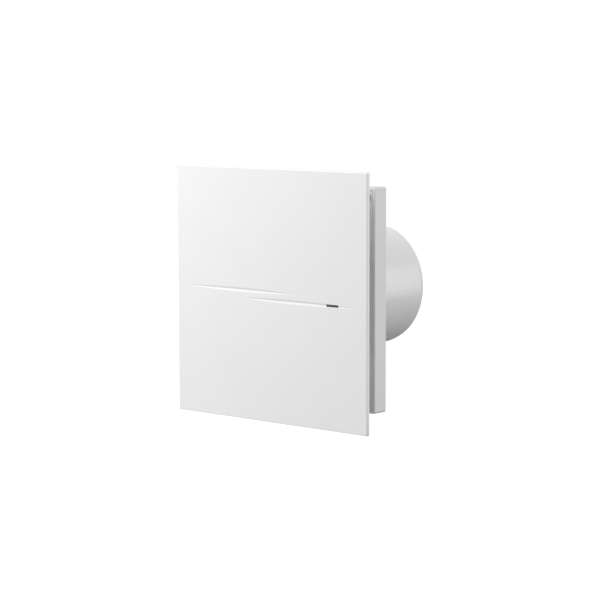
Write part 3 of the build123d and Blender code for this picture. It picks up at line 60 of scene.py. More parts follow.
# Two staggered grooves, each a spindle with a steep upper and a gentle lower side
GROOVE_HALF_W = 1.6
GROOVE_DEPTH = 0.38
GROOVE_VALLEY = 0.15                    # share of the half width by which the deepest line sits high
GROOVE_SOFTNESS = 0.10                  # how rounded the valley and the lips are, as a share
UPPER_GROOVE = (-94.5, 31.0, 3.1)       # start x, end x, height z
LOWER_GROOVE = (-33.5, 95.7, -3.2)
THINNEST_GROOVE = 0.12                  # half width that the grid keeps beyond a groove's ends

# The badge's pocket, at the right of the lower groove
BADGE_PLAY = 0.03
BADGE_SEAT_DEPTH = 0.9
POCKET_WALL = 0.04                      # how far out the pocket's wall leans
POCKET_ACROSS = 0.95                    # grid lines up to here lie on the pocket's floor

# The panel's grid: columns along x, flat lines below and above the grooves, lines across each groove
PANEL_COLUMNS = 96
GROOVE_END_STEPS = (0, 0.8, 1.8, 3.0)   # extra columns from each groove end
POCKET_CLEAR = 0.6                      # no other column comes nearer to an end of the pocket
POCKET_INNER_STEP = 0.3                 # the next column inside that end, and outside it
POCKET_OUTER_STEP = 0.4
LINES_BELOW = (-80, -60, -40, -25, -15, -9)
LINES_ABOVE = (8, 14, 25, 40, 60, 80)
HALF_ACROSS = (0.15, 0.3, 0.42, 0.5, 0.58, 0.7, 0.85, 0.95, 1.0, 1.08, 1.2, 1.5)
ACROSS = [-a for a in reversed(HALF_ACROSS)] + [0.0] + list(HALF_ACROSS)
RIM_STEPS = 5                           # facets round each of the rim's edges
CORNER_FAN = 6                          # facets round each corner
SAME_PLACE = 1e-6

# Screw bosses on the panel's back, on the carrier's screws
CARRIER_SCREW_HEAD_R = 2.8
BOSS_R = 3.5
BOSS_HOLE_R = 1.1
BOSS_FILLET_R = 0.8
BOSS_CHAMFER = 0.3
BOSS_HOLE_CHAMFER = 0.2
BOSS_HOLE_SINK = 0.4                    # the hole's floor, below the panel's back
BOSS_ROOT_SINK = 0.8                    # the boss's own foot, inside the panel
BOSS_FILLET_STEPS = 5
BOSS_SEGMENTS = 40

# Motor coils: turns of round wire on four poles
COIL_WIRE_R = 0.24
COIL_TURNS = 6                          # turns side by side along each pole
COIL_LAYERS = 7
COIL_INNER = (13.8, 7.8)                # axial and tangential size of the opening
COIL_START_R = 14.7                     # from the duct axis to the innermost turn
COIL_CORNER_R = 0.9
COIL_CORNER_STEPS = 6
COIL_NESTING = 0.98                     # layers lie a little closer than a wire's thickness
COIL_WIRE_SHARE = 0.98                  # share of its radius that is shown, so that turns don't touch
POLE_ANGLES = (45, 135, 225, 315)

# Studio, in metres and watts: each light has a place, a width and height, and a power
KEY_LIGHT = ((-0.72, -0.74, 0.66), (0.6, 0.6), 12.6)
RIGHT_LIGHT = ((1.30, 1.05, 0.15), (0.9, 1.1), 7.5)
LIGHT_TARGET = (0, -0.02, 0)
SURROUND_COLOUR = (0.985, 0.995, 1.0, 1)
SURROUND_RAMP = {"From Min": -0.75, "From Max": 0.75, "To Min": 0.18, "To Max": 0.73}
FLOOR_DROP = 0.75
FLOOR_REACH = 6.0
FLOOR_GLOW = 0.5

# Camera, from the middle of the panel's front
CAMERA_AZIMUTH = 41.7                   # degrees from straight ahead, towards +X
CAMERA_ELEVATION = 6.4
CAMERA_ROLL = -0.15
CAMERA_DISTANCE = 1.731
CAMERA_LENS = 131.6
CAMERA_SENSOR = 36
CAMERA_FARTHEST = 50
CAMERA_AIM = (0.0245, -0.0030)          # where it looks, right of and above that middle


# ---------------------------------------------------------------- finishes
class Finish:
    """One procedural material: a node tree round a Principled shader, in the object's own coordinates."""

    def __init__(self, name, metallic=0.0, ior=1.5, coat=0.0, coat_roughness=0.1):
        self.material = bpy.data.materials.new(name)
        self.material.use_nodes = True
        self.tree = self.material.node_tree
        self.shader = self.tree.nodes["Principled BSDF"]
        self.place = self.node("ShaderNodeTexCoord").outputs["Object"]
        self.shader.inputs["Metallic"].default_value = metallic
        self.shader.inputs["IOR"].default_value = ior
        self.shader.inputs["Coat Weight"].default_value = coat
        self.shader.inputs["Coat Roughness"].default_value = coat_roughness

    def node(self, kind, links=(), **settings):
        """New node with its inputs linked from (input, output) pairs or set to plain values."""
        made = self.tree.nodes.new(kind)
        for key, value in settings.items():
            setattr(made, key, value)
        for key, value in links:
            if isinstance(value, bpy.types.NodeSocket):
                self.tree.links.new(value, made.inputs[key])
            else:
                made.inputs[key].default_value = value
        return made

    def noise(self, size, detail=3.0, stretch=(1, 1, 1), vector=None):
        """Noise from 0 to 1 whose features are about size millimetres, longer along a stretched axis."""
        scale = tuple(1 / s for s in stretch)
        mapped = self.node("ShaderNodeMapping", [("Vector", vector or self.place), ("Scale", scale)])
        made = self.node(
            "ShaderNodeTexNoise",
            [("Vector", mapped.outputs[0]), ("Scale", 1 / (size * MM)), ("Detail", detail)],
        )
        return made.outputs[0]

    def between(self, value, low, high, start=0.3, end=0.7):
        """The value spread from low to high."""
        made = self.node(
            "ShaderNodeMapRange",
            [("Value", value), ("From Min", start), ("From Max", end), ("To Min", low), ("To Max", high)],
        )
        return made.outputs[0]

    def maths(self, operation, first, second=0.0):
        made = self.node("ShaderNodeMath", [(0, first), (1, second)], operation=operation)
        return made.outputs[0]

    def colour(self, factor, first, second):
        """Colour that goes from the first to the second with a factor."""
        made = self.node(
            "ShaderNodeMix",
            [(0, factor), (6, (*first, 1)), (7, (*second, 1))],
            data_type="RGBA",
        )
        return made.outputs[2]

    def axes(self):
        """The three object coordinates as separate values."""
        return self.node("ShaderNodeSeparateXYZ", [("Vector", self.place)]).outputs

    def wave(self, value, pitch):
        """Rounded ridges from 0 to 1 with a pitch in millimetres along a length in metres."""
        turned = self.maths("SINE", self.maths("MULTIPLY", value, 2 * math.pi / (pitch * MM)))
        return self.between(turned, 0.0, 1.0, -1.0, 1.0)

    def set_colour(self, socket):
        self.tree.links.new(socket, self.shader.inputs["Base Color"])

    def set_roughness(self, socket):
        self.tree.links.new(socket, self.shader.inputs["Roughness"])

    def relief(self, layers, edge_radius=0.0):
        """Bumps from (height, depth in mm) pairs, on edges that are softened by a small radius in mm."""
        normal = None
        if edge_radius:
            soft = self.node("ShaderNodeBevel", [("Radius", edge_radius * MM)], samples=4)
            normal = soft.outputs[0]
        for height, depth in layers:
            bump = self.node("ShaderNodeBump", [("Height", height), ("Distance", depth * MM)])
            bump.inputs["Strength"].default_value = 1.0
            if normal:
                self.tree.links.new(normal, bump.inputs["Normal"])
            normal = bump.outputs[0]
        self.tree.links.new(normal, self.shader.inputs["Normal"])


def moulded(name, colour, roughness, grain=0.5, grain_depth=0.0015, coat=0.0, edge=0.18, cast=0.985):
    """Injection-moulded plastic: cloudy tint, uneven gloss, eroded grain, faint sinks and soft edges."""
    finish = Finish(name, coat=coat, coat_roughness=0.18)
    cloud = finish.noise(size=45, detail=2.0)
    shade = tuple(channel * cast for channel in colour)
    finish.set_colour(finish.colour(finish.between(cloud, 0.0, 1.0), colour, shade))
    smear = finish.noise(size=38, detail=1.0)
    finish.set_roughness(finish.between(smear, roughness - 0.01, roughness + 0.015, start=0.2, end=0.8))
    sinks = finish.noise(size=60, detail=1.0)
    sink_depth = 0.02
    finish.relief([(sinks, sink_depth), (finish.noise(grain, detail=2.0), grain_depth)], edge)
    return finish.material


def flowed(name, colour, roughness):
    """Plastic of a fan wheel or vanes: moulded, with faint flow streaks that run out from the hub."""
    finish = Finish(name)
    x, y, z = finish.axes()
    x_squared, z_squared = finish.maths("MULTIPLY", x, x), finish.maths("MULTIPLY", z, z)
    radius = finish.maths("SQRT", finish.maths("ADD", x_squared, z_squared))
    turn_share, radius_share = 0.04, 0.12
    around = finish.maths("MULTIPLY", finish.maths("ARCTAN2", z, x), turn_share)
    outward = finish.maths("MULTIPLY", radius, radius_share)
    polar = finish.node("ShaderNodeCombineXYZ", [("X", around), ("Y", outward), ("Z", y)])
    streak = finish.noise(size=1.6, detail=4.0, vector=polar.outputs[0])
    dark = tuple(channel * 0.9 for channel in colour)
    finish.set_colour(finish.colour(finish.between(streak, 0.0, 1.0), colour, dark))
    smear = finish.noise(size=7, detail=3.0)
    finish.set_roughness(finish.between(smear, roughness - 0.05, roughness + 0.06))
    grain = finish.noise(size=0.3, detail=2.0)
    finish.relief([(streak, 0.01), (grain, 0.005)], edge_radius=0.2)
    return finish.material


def plated(name, colour, roughness, stretch=(1, 1, 1), grain=0.35, depth=0.004):
    """Plated or ground metal: cloudy plating, directional grain and soft edges."""
    finish = Finish(name, metallic=1.0)
    cloud = finish.noise(size=5, detail=4.0)
    dull = tuple(channel * 0.82 for channel in colour)
    finish.set_colour(finish.colour(finish.between(cloud, 0.0, 1.0), colour, dull))
    grain_lines = finish.noise(grain, detail=3.0, stretch=stretch)
    finish.set_roughness(finish.between(grain_lines, roughness - 0.08, roughness + 0.12))
    finish.relief([(grain_lines, depth)], edge_radius=0.12)
    return finish.material


def laminated(name, colour, sheet=0.5):
    """Stack of punched steel sheets across the duct axis, with a blued and oiled surface."""
    finish = Finish(name, metallic=1.0)
    y = finish.axes()[1]
    ridge = finish.wave(y, sheet)
    gap = finish.between(ridge, 0.0, 1.0, start=0.05, end=0.3)
    seam = tuple(channel * 0.35 for channel in colour)
    finish.set_colour(finish.colour(gap, seam, colour))
    oil = finish.noise(size=3, detail=4.0)
    finish.set_roughness(finish.between(oil, 0.32, 0.55))
    grain = finish.noise(size=0.6, detail=3.0)
    finish.relief([(gap, 0.05), (grain, 0.01)])
    return finish.material


def enamelled(name):
    """Enamelled copper wire: lacquer over copper that varies a little from turn to turn."""
    finish = Finish(name, metallic=1.0, coat=0.6, coat_roughness=0.12)
    tone = finish.noise(size=1.2, detail=3.0)
    bright, dark = (0.80, 0.32, 0.13), (0.55, 0.19, 0.07)
    finish.set_colour(finish.colour(finish.between(tone, 0.0, 1.0), bright, dark))
    finish.set_roughness(finish.between(tone, 0.22, 0.38))
    finish.relief([(finish.noise(size=0.3, detail=2.0), 0.004)])
    return finish.material


def rubber(name):
    """Soft black rubber with bloom and a fine matt texture."""
    finish = Finish(name)
    bloom = finish.noise(size=6, detail=5.0)
    black, dusty = (0.018, 0.018, 0.019), (0.045, 0.045, 0.047)
    finish.set_colour(finish.colour(finish.between(bloom, 0.0, 1.0), black, dusty))
    finish.set_roughness(finish.between(bloom, 0.55, 0.8))
    finish.relief([(finish.noise(size=0.25, detail=3.0), 0.015)], edge_radius=0.25)
    return finish.material


def insulated(name):
    """Two insulated cores side by side, blue on one side of the middle and brown on the other."""
    finish = Finish(name)
    x = finish.axes()[0]
    side = finish.between(x, 0.0, 1.0, start=-0.05 * MM, end=0.05 * MM)
    blue, brown = (0.03, 0.09, 0.36), (0.16, 0.06, 0.025)
    finish.set_colour(finish.colour(side, blue, brown))
    smear = finish.noise(size=2, detail=4.0)
    finish.set_roughness(finish.between(smear, 0.32, 0.48))
    finish.relief([(finish.noise(size=0.4, detail=3.0), 0.008)])
    return finish.material


def make_finishes():
    """Every finish by name, from its colour, its roughness and then its grain size and depth."""
    along_duct = (1, 12, 1)
    upright = (1, 1, 14)
    round_part = (3, 1, 3)
    return {
        "panel": moulded("panel_white", (0.908, 0.907, 0.900), 0.34, 0.5, 0.0008, coat=0.25, edge=0.0),
        "badge": moulded("badge_dark", (0.050, 0.050, 0.055), 0.34, 0.15, 0.004, edge=0.1),
        "carrier": moulded("carrier_white", (0.84, 0.84, 0.83), 0.45, 0.3, 0.006),
        "casing": moulded("casing_white", (0.80, 0.797, 0.792), 0.34),
        "cover": moulded("cover_white", (0.76, 0.76, 0.755), 0.36),
        "guard": moulded("guard_white", (0.85, 0.85, 0.845), 0.36),
        "spigot": moulded("spigot_white", (0.86, 0.862, 0.856), 0.28, 0.5, 0.001, coat=0.2),
        "damper": moulded("damper_white", (0.80, 0.80, 0.785), 0.42, 0.3, 0.006),
        "terminal": moulded("terminal_white", (0.80, 0.80, 0.77), 0.48, 0.3, 0.008),
        "terminal_lid": moulded("terminal_lid_white", (0.85, 0.85, 0.845), 0.38, 0.25, 0.005),
        "nylon": moulded("cage_nylon", (0.62, 0.57, 0.42), 0.40, 0.3, 0.006, edge=0.1),
        "capacitor": moulded("capacitor_grey", (0.22, 0.225, 0.23), 0.42, 0.3, 0.01),
        "sleeve": moulded("cutout_black", (0.02, 0.02, 0.022), 0.45, 0.5, 0.02, edge=0.1),
        "vane": flowed("vane_grey", (0.30, 0.31, 0.32), 0.42),
        "impeller": flowed("impeller_grey", (0.42, 0.43, 0.44), 0.36),
        "screw": plated("screw_steel", (0.66, 0.67, 0.68), 0.28, round_part),
        "spring": plated("spring_steel", (0.50, 0.50, 0.50), 0.30, along_duct, 0.2, 0.002),
        "housing": plated("housing_steel", (0.60, 0.61, 0.62), 0.36, round_part, 0.5, 0.006),
        "bearing": plated("bearing_steel", (0.74, 0.74, 0.75), 0.14, round_part, 0.2, 0.001),
        "shaft": plated("shaft_steel", (0.68, 0.68, 0.69), 0.20, round_part, 0.15, 0.002),
        "pin": plated("pin_steel", (0.66, 0.66, 0.67), 0.22, upright, 0.2, 0.002),
        "aluminium": plated("ring_aluminium", (0.72, 0.73, 0.74), 0.42, round_part, 0.6, 0.01),
        "brass": plated("brass", (0.70, 0.52, 0.22), 0.26, round_part, 0.25, 0.003),
        "laminations": laminated("lamination_steel", (0.30, 0.31, 0.33)),
        "copper": enamelled("copper"),
        "rubber": rubber("rubber_black"),
        "wire": insulated("wire_cores"),
    }


NODE_FINISHES = {
    "blank_badge": "badge",
    "panel_carrier": "carrier",
    "carrier_screws": "screw",
    "panel_clips": "spring",
    "rear_casing": "casing",
    "inlet_cover": "cover",
    "cover_screws": "screw",
    "inlet_guard": "guard",
    "guard_screws": "screw",
    "duct_spigot": "spigot",
    "spigot_screws": "screw",
    "guide_vanes": "vane",
    "motor_mounts": "rubber",
    "motor_washers": "screw",
    "motor_screws": "screw",
    "motor_housing": "housing",
    "motor_end_cap": "housing",
    "stator_core": "laminations",
    "thermal_cutout": "sleeve",
    "bearing_outer_rings": "bearing",
    "bearing_inner_rings": "bearing",
    "bearing_balls": "bearing",
    "bearing_cages": "nylon",
    "motor_shaft": "shaft",
    "rotor_core": "laminations",
    "rotor_end_rings": "aluminium",
    "impeller": "impeller",
    "nose_cone": "impeller",
    "shaft_clip": "spring",
    "damper_frame": "damper",
    "damper_pin": "pin",
    "damper_flap_right": "damper",
    "damper_flap_left": "damper",
    "damper_spring_right": "spring",
    "damper_spring_left": "spring",
    "terminal_block": "terminal",
    "terminal_clamps": "brass",
    "terminal_screws": "screw",
    "terminal_block_screws": "screw",
    "terminal_cover": "terminal_lid",
    "terminal_cover_screw": "screw",
    "cable_grommet": "rubber",
    "cable_clamp": "terminal",
    "cable_clamp_screws": "screw",
    "run_capacitor": "capacitor",
    "motor_lead": "wire",
}


def dress_nodes(finishes):
    """Gives every shown CAD node its finish."""
    for name, finish_name in NODE_FINISHES.items():
        for slot in nodes[name].material_slots:
            slot.material = finishes[finish_name]


# ---------------------------------------------------------------- meshes
def new_piece(name, points, faces, material, body):
    """Smooth-shaded mesh from points in millimetres, riding on a CAD body."""
    mesh = bpy.data.meshes.new(name)
    mesh.from_pydata([Vector(p) * MM for p in points], [], faces)
    shell = bmesh.new()
    shell.from_mesh(mesh)
    bmesh.ops.recalc_face_normals(shell, faces=shell.faces)
    shell.to_mesh(mesh)
    shell.free()
    mesh.shade_smooth()
    mesh.materials.append(material)
    piece = bpy.data.objects.new(name, mesh)
    bpy.context.scene.collection.objects.link(piece)
    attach(piece, body)
    return piece


def groove_half_width(x, groove):
    """Half width of a spindle-shaped groove at x, zero beyond its ends."""
    start, end, _ = groove
    share = (2 * x - start - end) / (end - start)
    return GROOVE_HALF_W * max(0.0, 1 - share * share)


def soft_step(value):
    """The value where it is positive and nearly zero elsewhere, with a rounded knee."""
    return (value + math.sqrt(value * value + GROOVE_SOFTNESS ** 2)) / 2


def groove_share(across):
    """Share of the full depth at a place across the groove, from -1 at its lower edge to 1 at its upper."""
    if abs(across) >= ACROSS[-1]:
        return 0.0
    from_valley = across - GROOVE_VALLEY
    run = 1 - GROOVE_VALLEY if from_valley > 0 else 1 + GROOVE_VALLEY
    return soft_step(1 - math.sqrt((from_valley / run) ** 2 + GROOVE_SOFTNESS ** 2))


def groove_line(x, across, groove, pocket):
    """Height and depth of one grid line of a groove at x. The pocket is (start x, end x, low z, high z)."""
    if pocket and pocket[0] <= x <= pocket[1]:
        middle, half = (pocket[2] + pocket[3]) / 2, (pocket[3] - pocket[2]) / 2
        if abs(across) <= POCKET_ACROSS:
            return middle + across / POCKET_ACROSS * half, BADGE_SEAT_DEPTH
        beyond = abs(across) - 1.0
        reach = half + POCKET_WALL + max(0.0, beyond) * GROOVE_HALF_W
        return middle + math.copysign(reach, across), 0.0
    half = max(groove_half_width(x, groove), THINNEST_GROOVE)
    full_depth = GROOVE_DEPTH * groove_half_width(x, groove) / GROOVE_HALF_W
    return groove[2] + across * half, full_depth * groove_share(across)


def panel_columns(half, pocket):
    """Grid columns across the panel, finer near the groove ends and the badge's pocket."""
    columns = {-half, half}
    columns.update(-half + 2 * half * step / PANEL_COLUMNS for step in range(1, PANEL_COLUMNS))
    for start, end, _ in (UPPER_GROOVE, LOWER_GROOVE):
        for offset in GROOVE_END_STEPS:
            columns.update((start + offset, end - offset))
    columns = {x for x in columns if min(abs(x - pocket[0]), abs(x - pocket[1])) > POCKET_CLEAR}
    for edge, outward in ((pocket[0], -1), (pocket[1], 1)):
        columns.update((edge, edge + outward * POCKET_WALL))
        columns.update((edge - outward * POCKET_INNER_STEP, edge + outward * POCKET_OUTER_STEP))
    return sorted(columns)


def panel_grid(half, front_y, pocket):
    """Columns of points on the panel's front, from its low to its high edge."""
    below = [(z, 0.0) for z in (-half, *LINES_BELOW)]
    above = [(z, 0.0) for z in (*LINES_ABOVE, half)]
    middle = [((UPPER_GROOVE[2] + LOWER_GROOVE[2]) / 2, 0.0)]
    grid = []
    for x in panel_columns(half, pocket):
        lower = [groove_line(x, a, LOWER_GROOVE, pocket) for a in ACROSS]
        upper = [groove_line(x, a, UPPER_GROOVE, None) for a in ACROSS]
        lines = below + lower + middle + upper + above
        grid.append([(x, front_y + depth, z) for z, depth in lines])
    return grid


def edge_profile():
    """How far out and how far back the panel's rounded edge goes, from the front round to the back."""
    profile = []
    inset = PANEL_CORNER_R - PANEL_DRAFT - PANEL_EDGE_R
    slope = math.atan2(PANEL_T, PANEL_DRAFT)
    for step in range(RIM_STEPS + 1):
        turn = slope * step / RIM_STEPS
        profile.append((inset + PANEL_EDGE_R * math.sin(turn), PANEL_EDGE_R * (1 - math.cos(turn))))
    for step in range(RIM_STEPS + 1):
        turn = math.pi / 2 * step / RIM_STEPS
        out = PANEL_CORNER_R - PANEL_BACK_EDGE_R * (1 - math.cos(turn))
        profile.append((out, PANEL_T - PANEL_BACK_EDGE_R * (1 - math.sin(turn))))
    profile.append((0.0, PANEL_T))
    return profile


def rim_directions(rim, half):
    """For each rim point of the grid, its place and the outward directions it spreads into: one, or a fan."""
    spread = []
    for index, x, z in rim:
        on_x, on_z = abs(abs(x) - half) < SAME_PLACE, abs(abs(z) - half) < SAME_PLACE
        start = math.atan2(z if on_z else 0.0, x if on_x else 0.0)
        if on_x and on_z:
            turns = [start + math.pi / 4 * (1 - 2 * step / CORNER_FAN) for step in range(CORNER_FAN + 1)]
        else:
            turns = [start]
        spread += [(index, x, z, turn) for turn in turns]
    return spread


def build_panel(finishes):
    """Front panel: carved front, rounded rim, flat back and four screw bosses."""
    low, high = (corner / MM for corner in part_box("front_panel"))
    badge_low, badge_high = (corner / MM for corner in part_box("blank_badge"))
    front_y, half = low.y, high.x - PANEL_CORNER_R
    pocket = (badge_low.x - BADGE_PLAY, badge_high.x + BADGE_PLAY, badge_low.z - BADGE_PLAY,
              badge_high.z + BADGE_PLAY)
    grid = panel_grid(half, front_y, pocket)
    columns, rows = len(grid), len(grid[0])
    points = [point for column in grid for point in column]
    faces = []
    for i in range(columns - 1):
        for j in range(rows - 1):
            corner = i * rows + j
            faces.append((corner, corner + rows, corner + rows + 1, corner + 1))
    # The rim, walked clockwise as seen from the room so that the fans open outwards
    left = list(range(rows))
    top = [i * rows + rows - 1 for i in range(1, columns)]
    right = [(columns - 1) * rows + j for j in range(rows - 2, -1, -1)]
    bottom = [i * rows for i in range(columns - 2, 0, -1)]
    rim = [(k, points[k][0], points[k][2]) for k in left + top + right + bottom]
    spread = rim_directions(rim, half)
    previous = [k for k, x, z, turn in spread]
    for out, back in edge_profile():
        ring = []
        for k, x, z, turn in spread:
            ring.append(len(points))
            points.append((x + out * math.cos(turn), front_y + back, z + out * math.sin(turn)))
        if out == 0.0:
            del points[-len(ring):]
            ring = back_ring(points, spread, front_y + back)
        for k in range(len(spread)):
            after = (k + 1) % len(spread)
            face = [previous[k], ring[k], ring[after], previous[after]]
            face = [v for n, v in enumerate(face) if v not in face[:n]]
            if len(face) > 2:
                faces.append(tuple(face))
        previous = ring
    faces.append(tuple(v for n, v in enumerate(previous) if v != previous[n - 1]))
    add_bosses(points, faces, front_y + PANEL_T)
    panel = new_piece("front_panel_moulding", points, faces, finishes["panel"], "panel")
    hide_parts("front_panel")


def back_ring(points, spread, y):
    """The last ring, where each corner's fan closes into one point."""
    ring, places = [], {}
    for k, x, z, turn in spread:
        if (x, z) not in places:
            places[(x, z)] = len(points)
            points.append((x, y, z))
        ring.append(places[(x, z)])
    return ring


def add_bosses(points, faces, back_y):
    """Screw bosses with a rounded root on the panel's back, at the carrier's screws."""
    screws_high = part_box("carrier_screws")[1] / MM
    reach_x, reach_z = screws_high.x - CARRIER_SCREW_HEAD_R, screws_high.z - CARRIER_SCREW_HEAD_R
    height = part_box("front_panel")[1].y / MM - back_y
    hole = [(0.0, -BOSS_HOLE_SINK), (BOSS_HOLE_R, -BOSS_HOLE_SINK), (BOSS_HOLE_R, height - BOSS_HOLE_CHAMFER)]
    top = [(BOSS_HOLE_R + BOSS_HOLE_CHAMFER, height), (BOSS_R - BOSS_CHAMFER, height)]
    outline = hole + top + [(BOSS_R, height - BOSS_CHAMFER)]
    for step in range(BOSS_FILLET_STEPS + 1):
        turn = math.pi / 2 * step / BOSS_FILLET_STEPS
        outline.append((BOSS_R + BOSS_FILLET_R * (1 - math.cos(turn)), BOSS_FILLET_R * (1 - math.sin(turn))))
    outline += [(BOSS_R + BOSS_FILLET_R, -BOSS_ROOT_SINK), (0.0, -BOSS_ROOT_SINK)]
    for side_x in (-1, 1):
        for side_z in (-1, 1):
            add_turned(points, faces, outline, (side_x * reach_x, back_y, side_z * reach_z))


def add_turned(points, faces, outline, base):
    """Closed solid turned about the line through base along Y, from (radius, height) points."""
    base_x, base_y, base_z = base
    rings = []
    for radius, height in outline:
        count = BOSS_SEGMENTS if radius else 1
        rings.append(list(range(len(points), len(points) + count)))
        for step in range(count):
            turn = 2 * math.pi * step / count
            across, up = radius * math.cos(turn), radius * math.sin(turn)
            points.append((base_x + across, base_y + height, base_z + up))
    for first, second in zip(rings, rings[1:]):
        for step in range(BOSS_SEGMENTS):
            after = (step + 1) % BOSS_SEGMENTS
            face = [first[step % len(first)], first[after % len(first)],
                    second[after % len(second)], second[step % len(second)]]
            faces.append(tuple(v for n, v in enumerate(face) if v not in face[:n]))


# ---------------------------------------------------------------- motor coils
def turn_path(layer):
    """One turn of wire round a pole, as axial and tangential places on a rounded rectangle."""
    grow = COIL_WIRE_R * (1 + 2 * layer * COIL_NESTING)
    half_a, half_t = COIL_INNER[0] / 2 + grow, COIL_INNER[1] / 2 + grow
    radius = COIL_CORNER_R + grow
    path = []
    for corner, (side_a, side_t) in enumerate(((1, 1), (-1, 1), (-1, -1), (1, -1))):
        for step in range(COIL_CORNER_STEPS + 1):
            turn = math.pi / 2 * (corner + step / COIL_CORNER_STEPS)
            path.append((side_a * (half_a - radius) + radius * math.cos(turn),
                         side_t * (half_t - radius) + radius * math.sin(turn)))
    return path


def add_tube(points, faces, centres, tangents, radius, sides=8):
    """Closed tube of round wire through the centres, in a plane square to the pole."""
    first = len(points)
    count = len(centres)
    for centre, tangent in zip(centres, tangents):
        across = tangent.cross(Vector((0, 0, 1))).normalized()
        for side in range(sides):
            turn = 2 * math.pi * side / sides
            points.append(centre + across * radius * math.cos(turn) + Vector((0, 0, radius * math.sin(turn))))
    for k in range(count):
        ahead = (k + 1) % count
        for side in range(sides):
            after = (side + 1) % sides
            faces.append((first + k * sides + side, first + ahead * sides + side,
                          first + ahead * sides + after, first + k * sides + after))


def build_coils(finishes):
    """Four coils of round wire, where the frame holds one solid for each."""
    low, high = (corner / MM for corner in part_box("stator_windings"))
    middle_y = (low.y + high.y) / 2
    points, faces = [], []
    for layer in range(COIL_LAYERS):
        path = turn_path(layer)
        stagger = COIL_WIRE_R * (layer % 2)
        for turn in range(COIL_TURNS - layer % 2):
            height = COIL_START_R + COIL_WIRE_R + 2 * COIL_WIRE_R * turn + stagger
            centres = [Vector((a, t, height)) for a, t in path]
            count = len(centres)
            tangents = [(centres[(k + 1) % count] - centres[k - 1]).normalized() for k in range(count)]
            add_tube(points, faces, centres, tangents, COIL_WIRE_R * COIL_WIRE_SHARE)
    # Each pole's copy, from along the duct, round the stator and out from the axis
    all_points, all_faces = [], []
    for angle in POLE_ANGLES:
        turn = math.radians(angle)
        outward = Vector((math.cos(turn), 0, math.sin(turn)))
        around = Vector((-math.sin(turn), 0, math.cos(turn)))
        base = len(all_points)
        for a, t, height in points:
            all_points.append(Vector((0, middle_y + a, 0)) + around * t + outward * height)
        all_faces += [tuple(base + v for v in reversed(face)) for face in faces]
    coils = new_piece("stator_coils", all_points, all_faces, finishes["copper"], "casing")
    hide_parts("stator_windings")


# ---------------------------------------------------------------- studio
def soft_box(name, place, size, power):
    """White area light at a place, aimed at the fan."""
    light = bpy.data.lights.new(name, "AREA")
    light.shape = "RECTANGLE"
    light.size, light.size_y = size
    light.energy = power
    lamp = bpy.data.objects.new(name, light)
    lamp.location = place
    lamp.rotation_mode = "QUATERNION"
    lamp.rotation_quaternion = (Vector(LIGHT_TARGET) - Vector(place)).to_track_quat("-Z", "Y")
    bpy.context.scene.collection.objects.link(lamp)


def build_world():
    """Surroundings that the camera sees as white. They light the object less from below than from above."""
    world = bpy.data.worlds.new("studio")
    bpy.context.scene.world = world
    world.use_nodes = True
    tree = world.node_tree
    tree.nodes.clear()
    place = tree.nodes.new("ShaderNodeTexCoord")
    split = tree.nodes.new("ShaderNodeSeparateXYZ")
    tree.links.new(place.outputs["Generated"], split.inputs[0])
    ramp = tree.nodes.new("ShaderNodeMapRange")
    ramp.interpolation_type = "SMOOTHSTEP"
    tree.links.new(split.outputs["Z"], ramp.inputs["Value"])
    for key, value in SURROUND_RAMP.items():
        ramp.inputs[key].default_value = value
    surroundings = tree.nodes.new("ShaderNodeBackground")
    surroundings.inputs["Color"].default_value = SURROUND_COLOUR
    tree.links.new(ramp.outputs[0], surroundings.inputs["Strength"])
    backdrop = tree.nodes.new("ShaderNodeBackground")
    backdrop.inputs["Color"].default_value = (1, 1, 1, 1)
    backdrop.inputs["Strength"].default_value = 1.0
    seen = tree.nodes.new("ShaderNodeLightPath")
    choose = tree.nodes.new("ShaderNodeMixShader")
    tree.links.new(seen.outputs["Is Camera Ray"], choose.inputs[0])
    tree.links.new(surroundings.outputs[0], choose.inputs[1])
    tree.links.new(backdrop.outputs[0], choose.inputs[2])
    output = tree.nodes.new("ShaderNodeOutputWorld")
    tree.links.new(choose.outputs[0], output.inputs["Surface"])


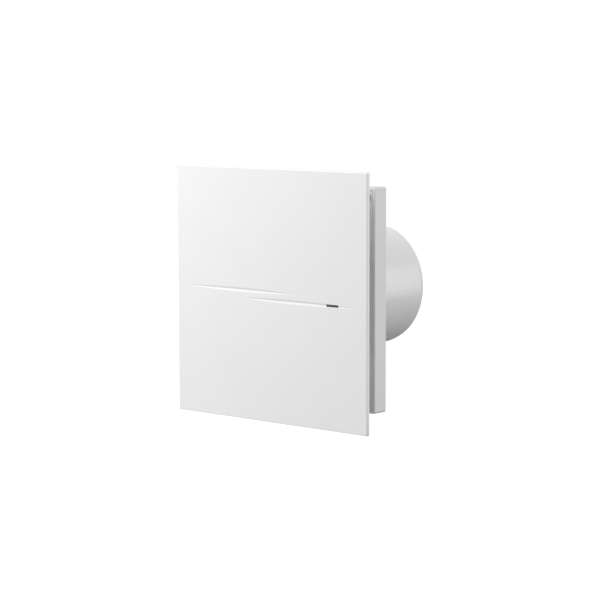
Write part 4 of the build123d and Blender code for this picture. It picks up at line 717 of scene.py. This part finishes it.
def build_floor():
    """Plain pale floor well below the fan, which hangs on its duct."""
    mesh = bpy.data.meshes.new("studio_floor")
    sides = ((-1, -1), (1, -1), (1, 1), (-1, 1))
    corners = [(FLOOR_REACH * x, FLOOR_REACH * y, -FLOOR_DROP) for x, y in sides]
    mesh.from_pydata(corners, [], [(0, 1, 2, 3)])
    floor = bpy.data.objects.new("studio_floor", mesh)
    bpy.context.scene.collection.objects.link(floor)
    finish = Finish("floor_white")
    cloud = finish.noise(size=900, detail=2.0)
    finish.set_colour(finish.colour(cloud, (0.93, 0.93, 0.93), (0.90, 0.90, 0.90)))
    finish.set_roughness(finish.between(cloud, 0.8, 0.9))
    finish.shader.inputs["Emission Color"].default_value = (1, 1, 1, 1)
    finish.shader.inputs["Emission Strength"].default_value = FLOOR_GLOW
    mesh.materials.append(finish.material)
    floor.visible_diffuse = False
    floor.visible_glossy = False


def build_camera():
    """Camera at the viewing angle, on the panel's front."""
    low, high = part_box("front_panel")
    middle = Vector(((low.x + high.x) / 2, low.y, (low.z + high.z) / 2))
    azimuth, elevation = math.radians(CAMERA_AZIMUTH), math.radians(CAMERA_ELEVATION)
    back = Vector((math.sin(azimuth) * math.cos(elevation), -math.cos(azimuth) * math.cos(elevation),
                   math.sin(elevation)))
    right = Vector((0, 0, 1)).cross(back).normalized()
    up = back.cross(right)
    roll = math.radians(CAMERA_ROLL)
    level = right * math.cos(roll) + up * math.sin(roll)
    upright = up * math.cos(roll) - right * math.sin(roll)
    camera = bpy.data.objects.new("camera", bpy.data.cameras.new("camera"))
    place = middle + back * CAMERA_DISTANCE + level * CAMERA_AIM[0] + upright * CAMERA_AIM[1]
    turn = Matrix((level, upright, back)).transposed().to_4x4()
    camera.matrix_world = Matrix.Translation(place) @ turn
    camera.data.lens = CAMERA_LENS
    camera.data.sensor_width = CAMERA_SENSOR
    camera.data.clip_end = CAMERA_FARTHEST
    bpy.context.scene.collection.objects.link(camera)
    bpy.context.scene.camera = camera


def build_studio():
    """World, floor, lights and camera."""
    bpy.context.scene.view_settings.view_transform = "Standard"
    build_world()
    build_floor()
    soft_box("key_light", *KEY_LIGHT)
    soft_box("right_light", *RIGHT_LIGHT)
    build_camera()


finishes = make_finishes()
dress_nodes(finishes)
build_panel(finishes)
build_coils(finishes)
build_studio()
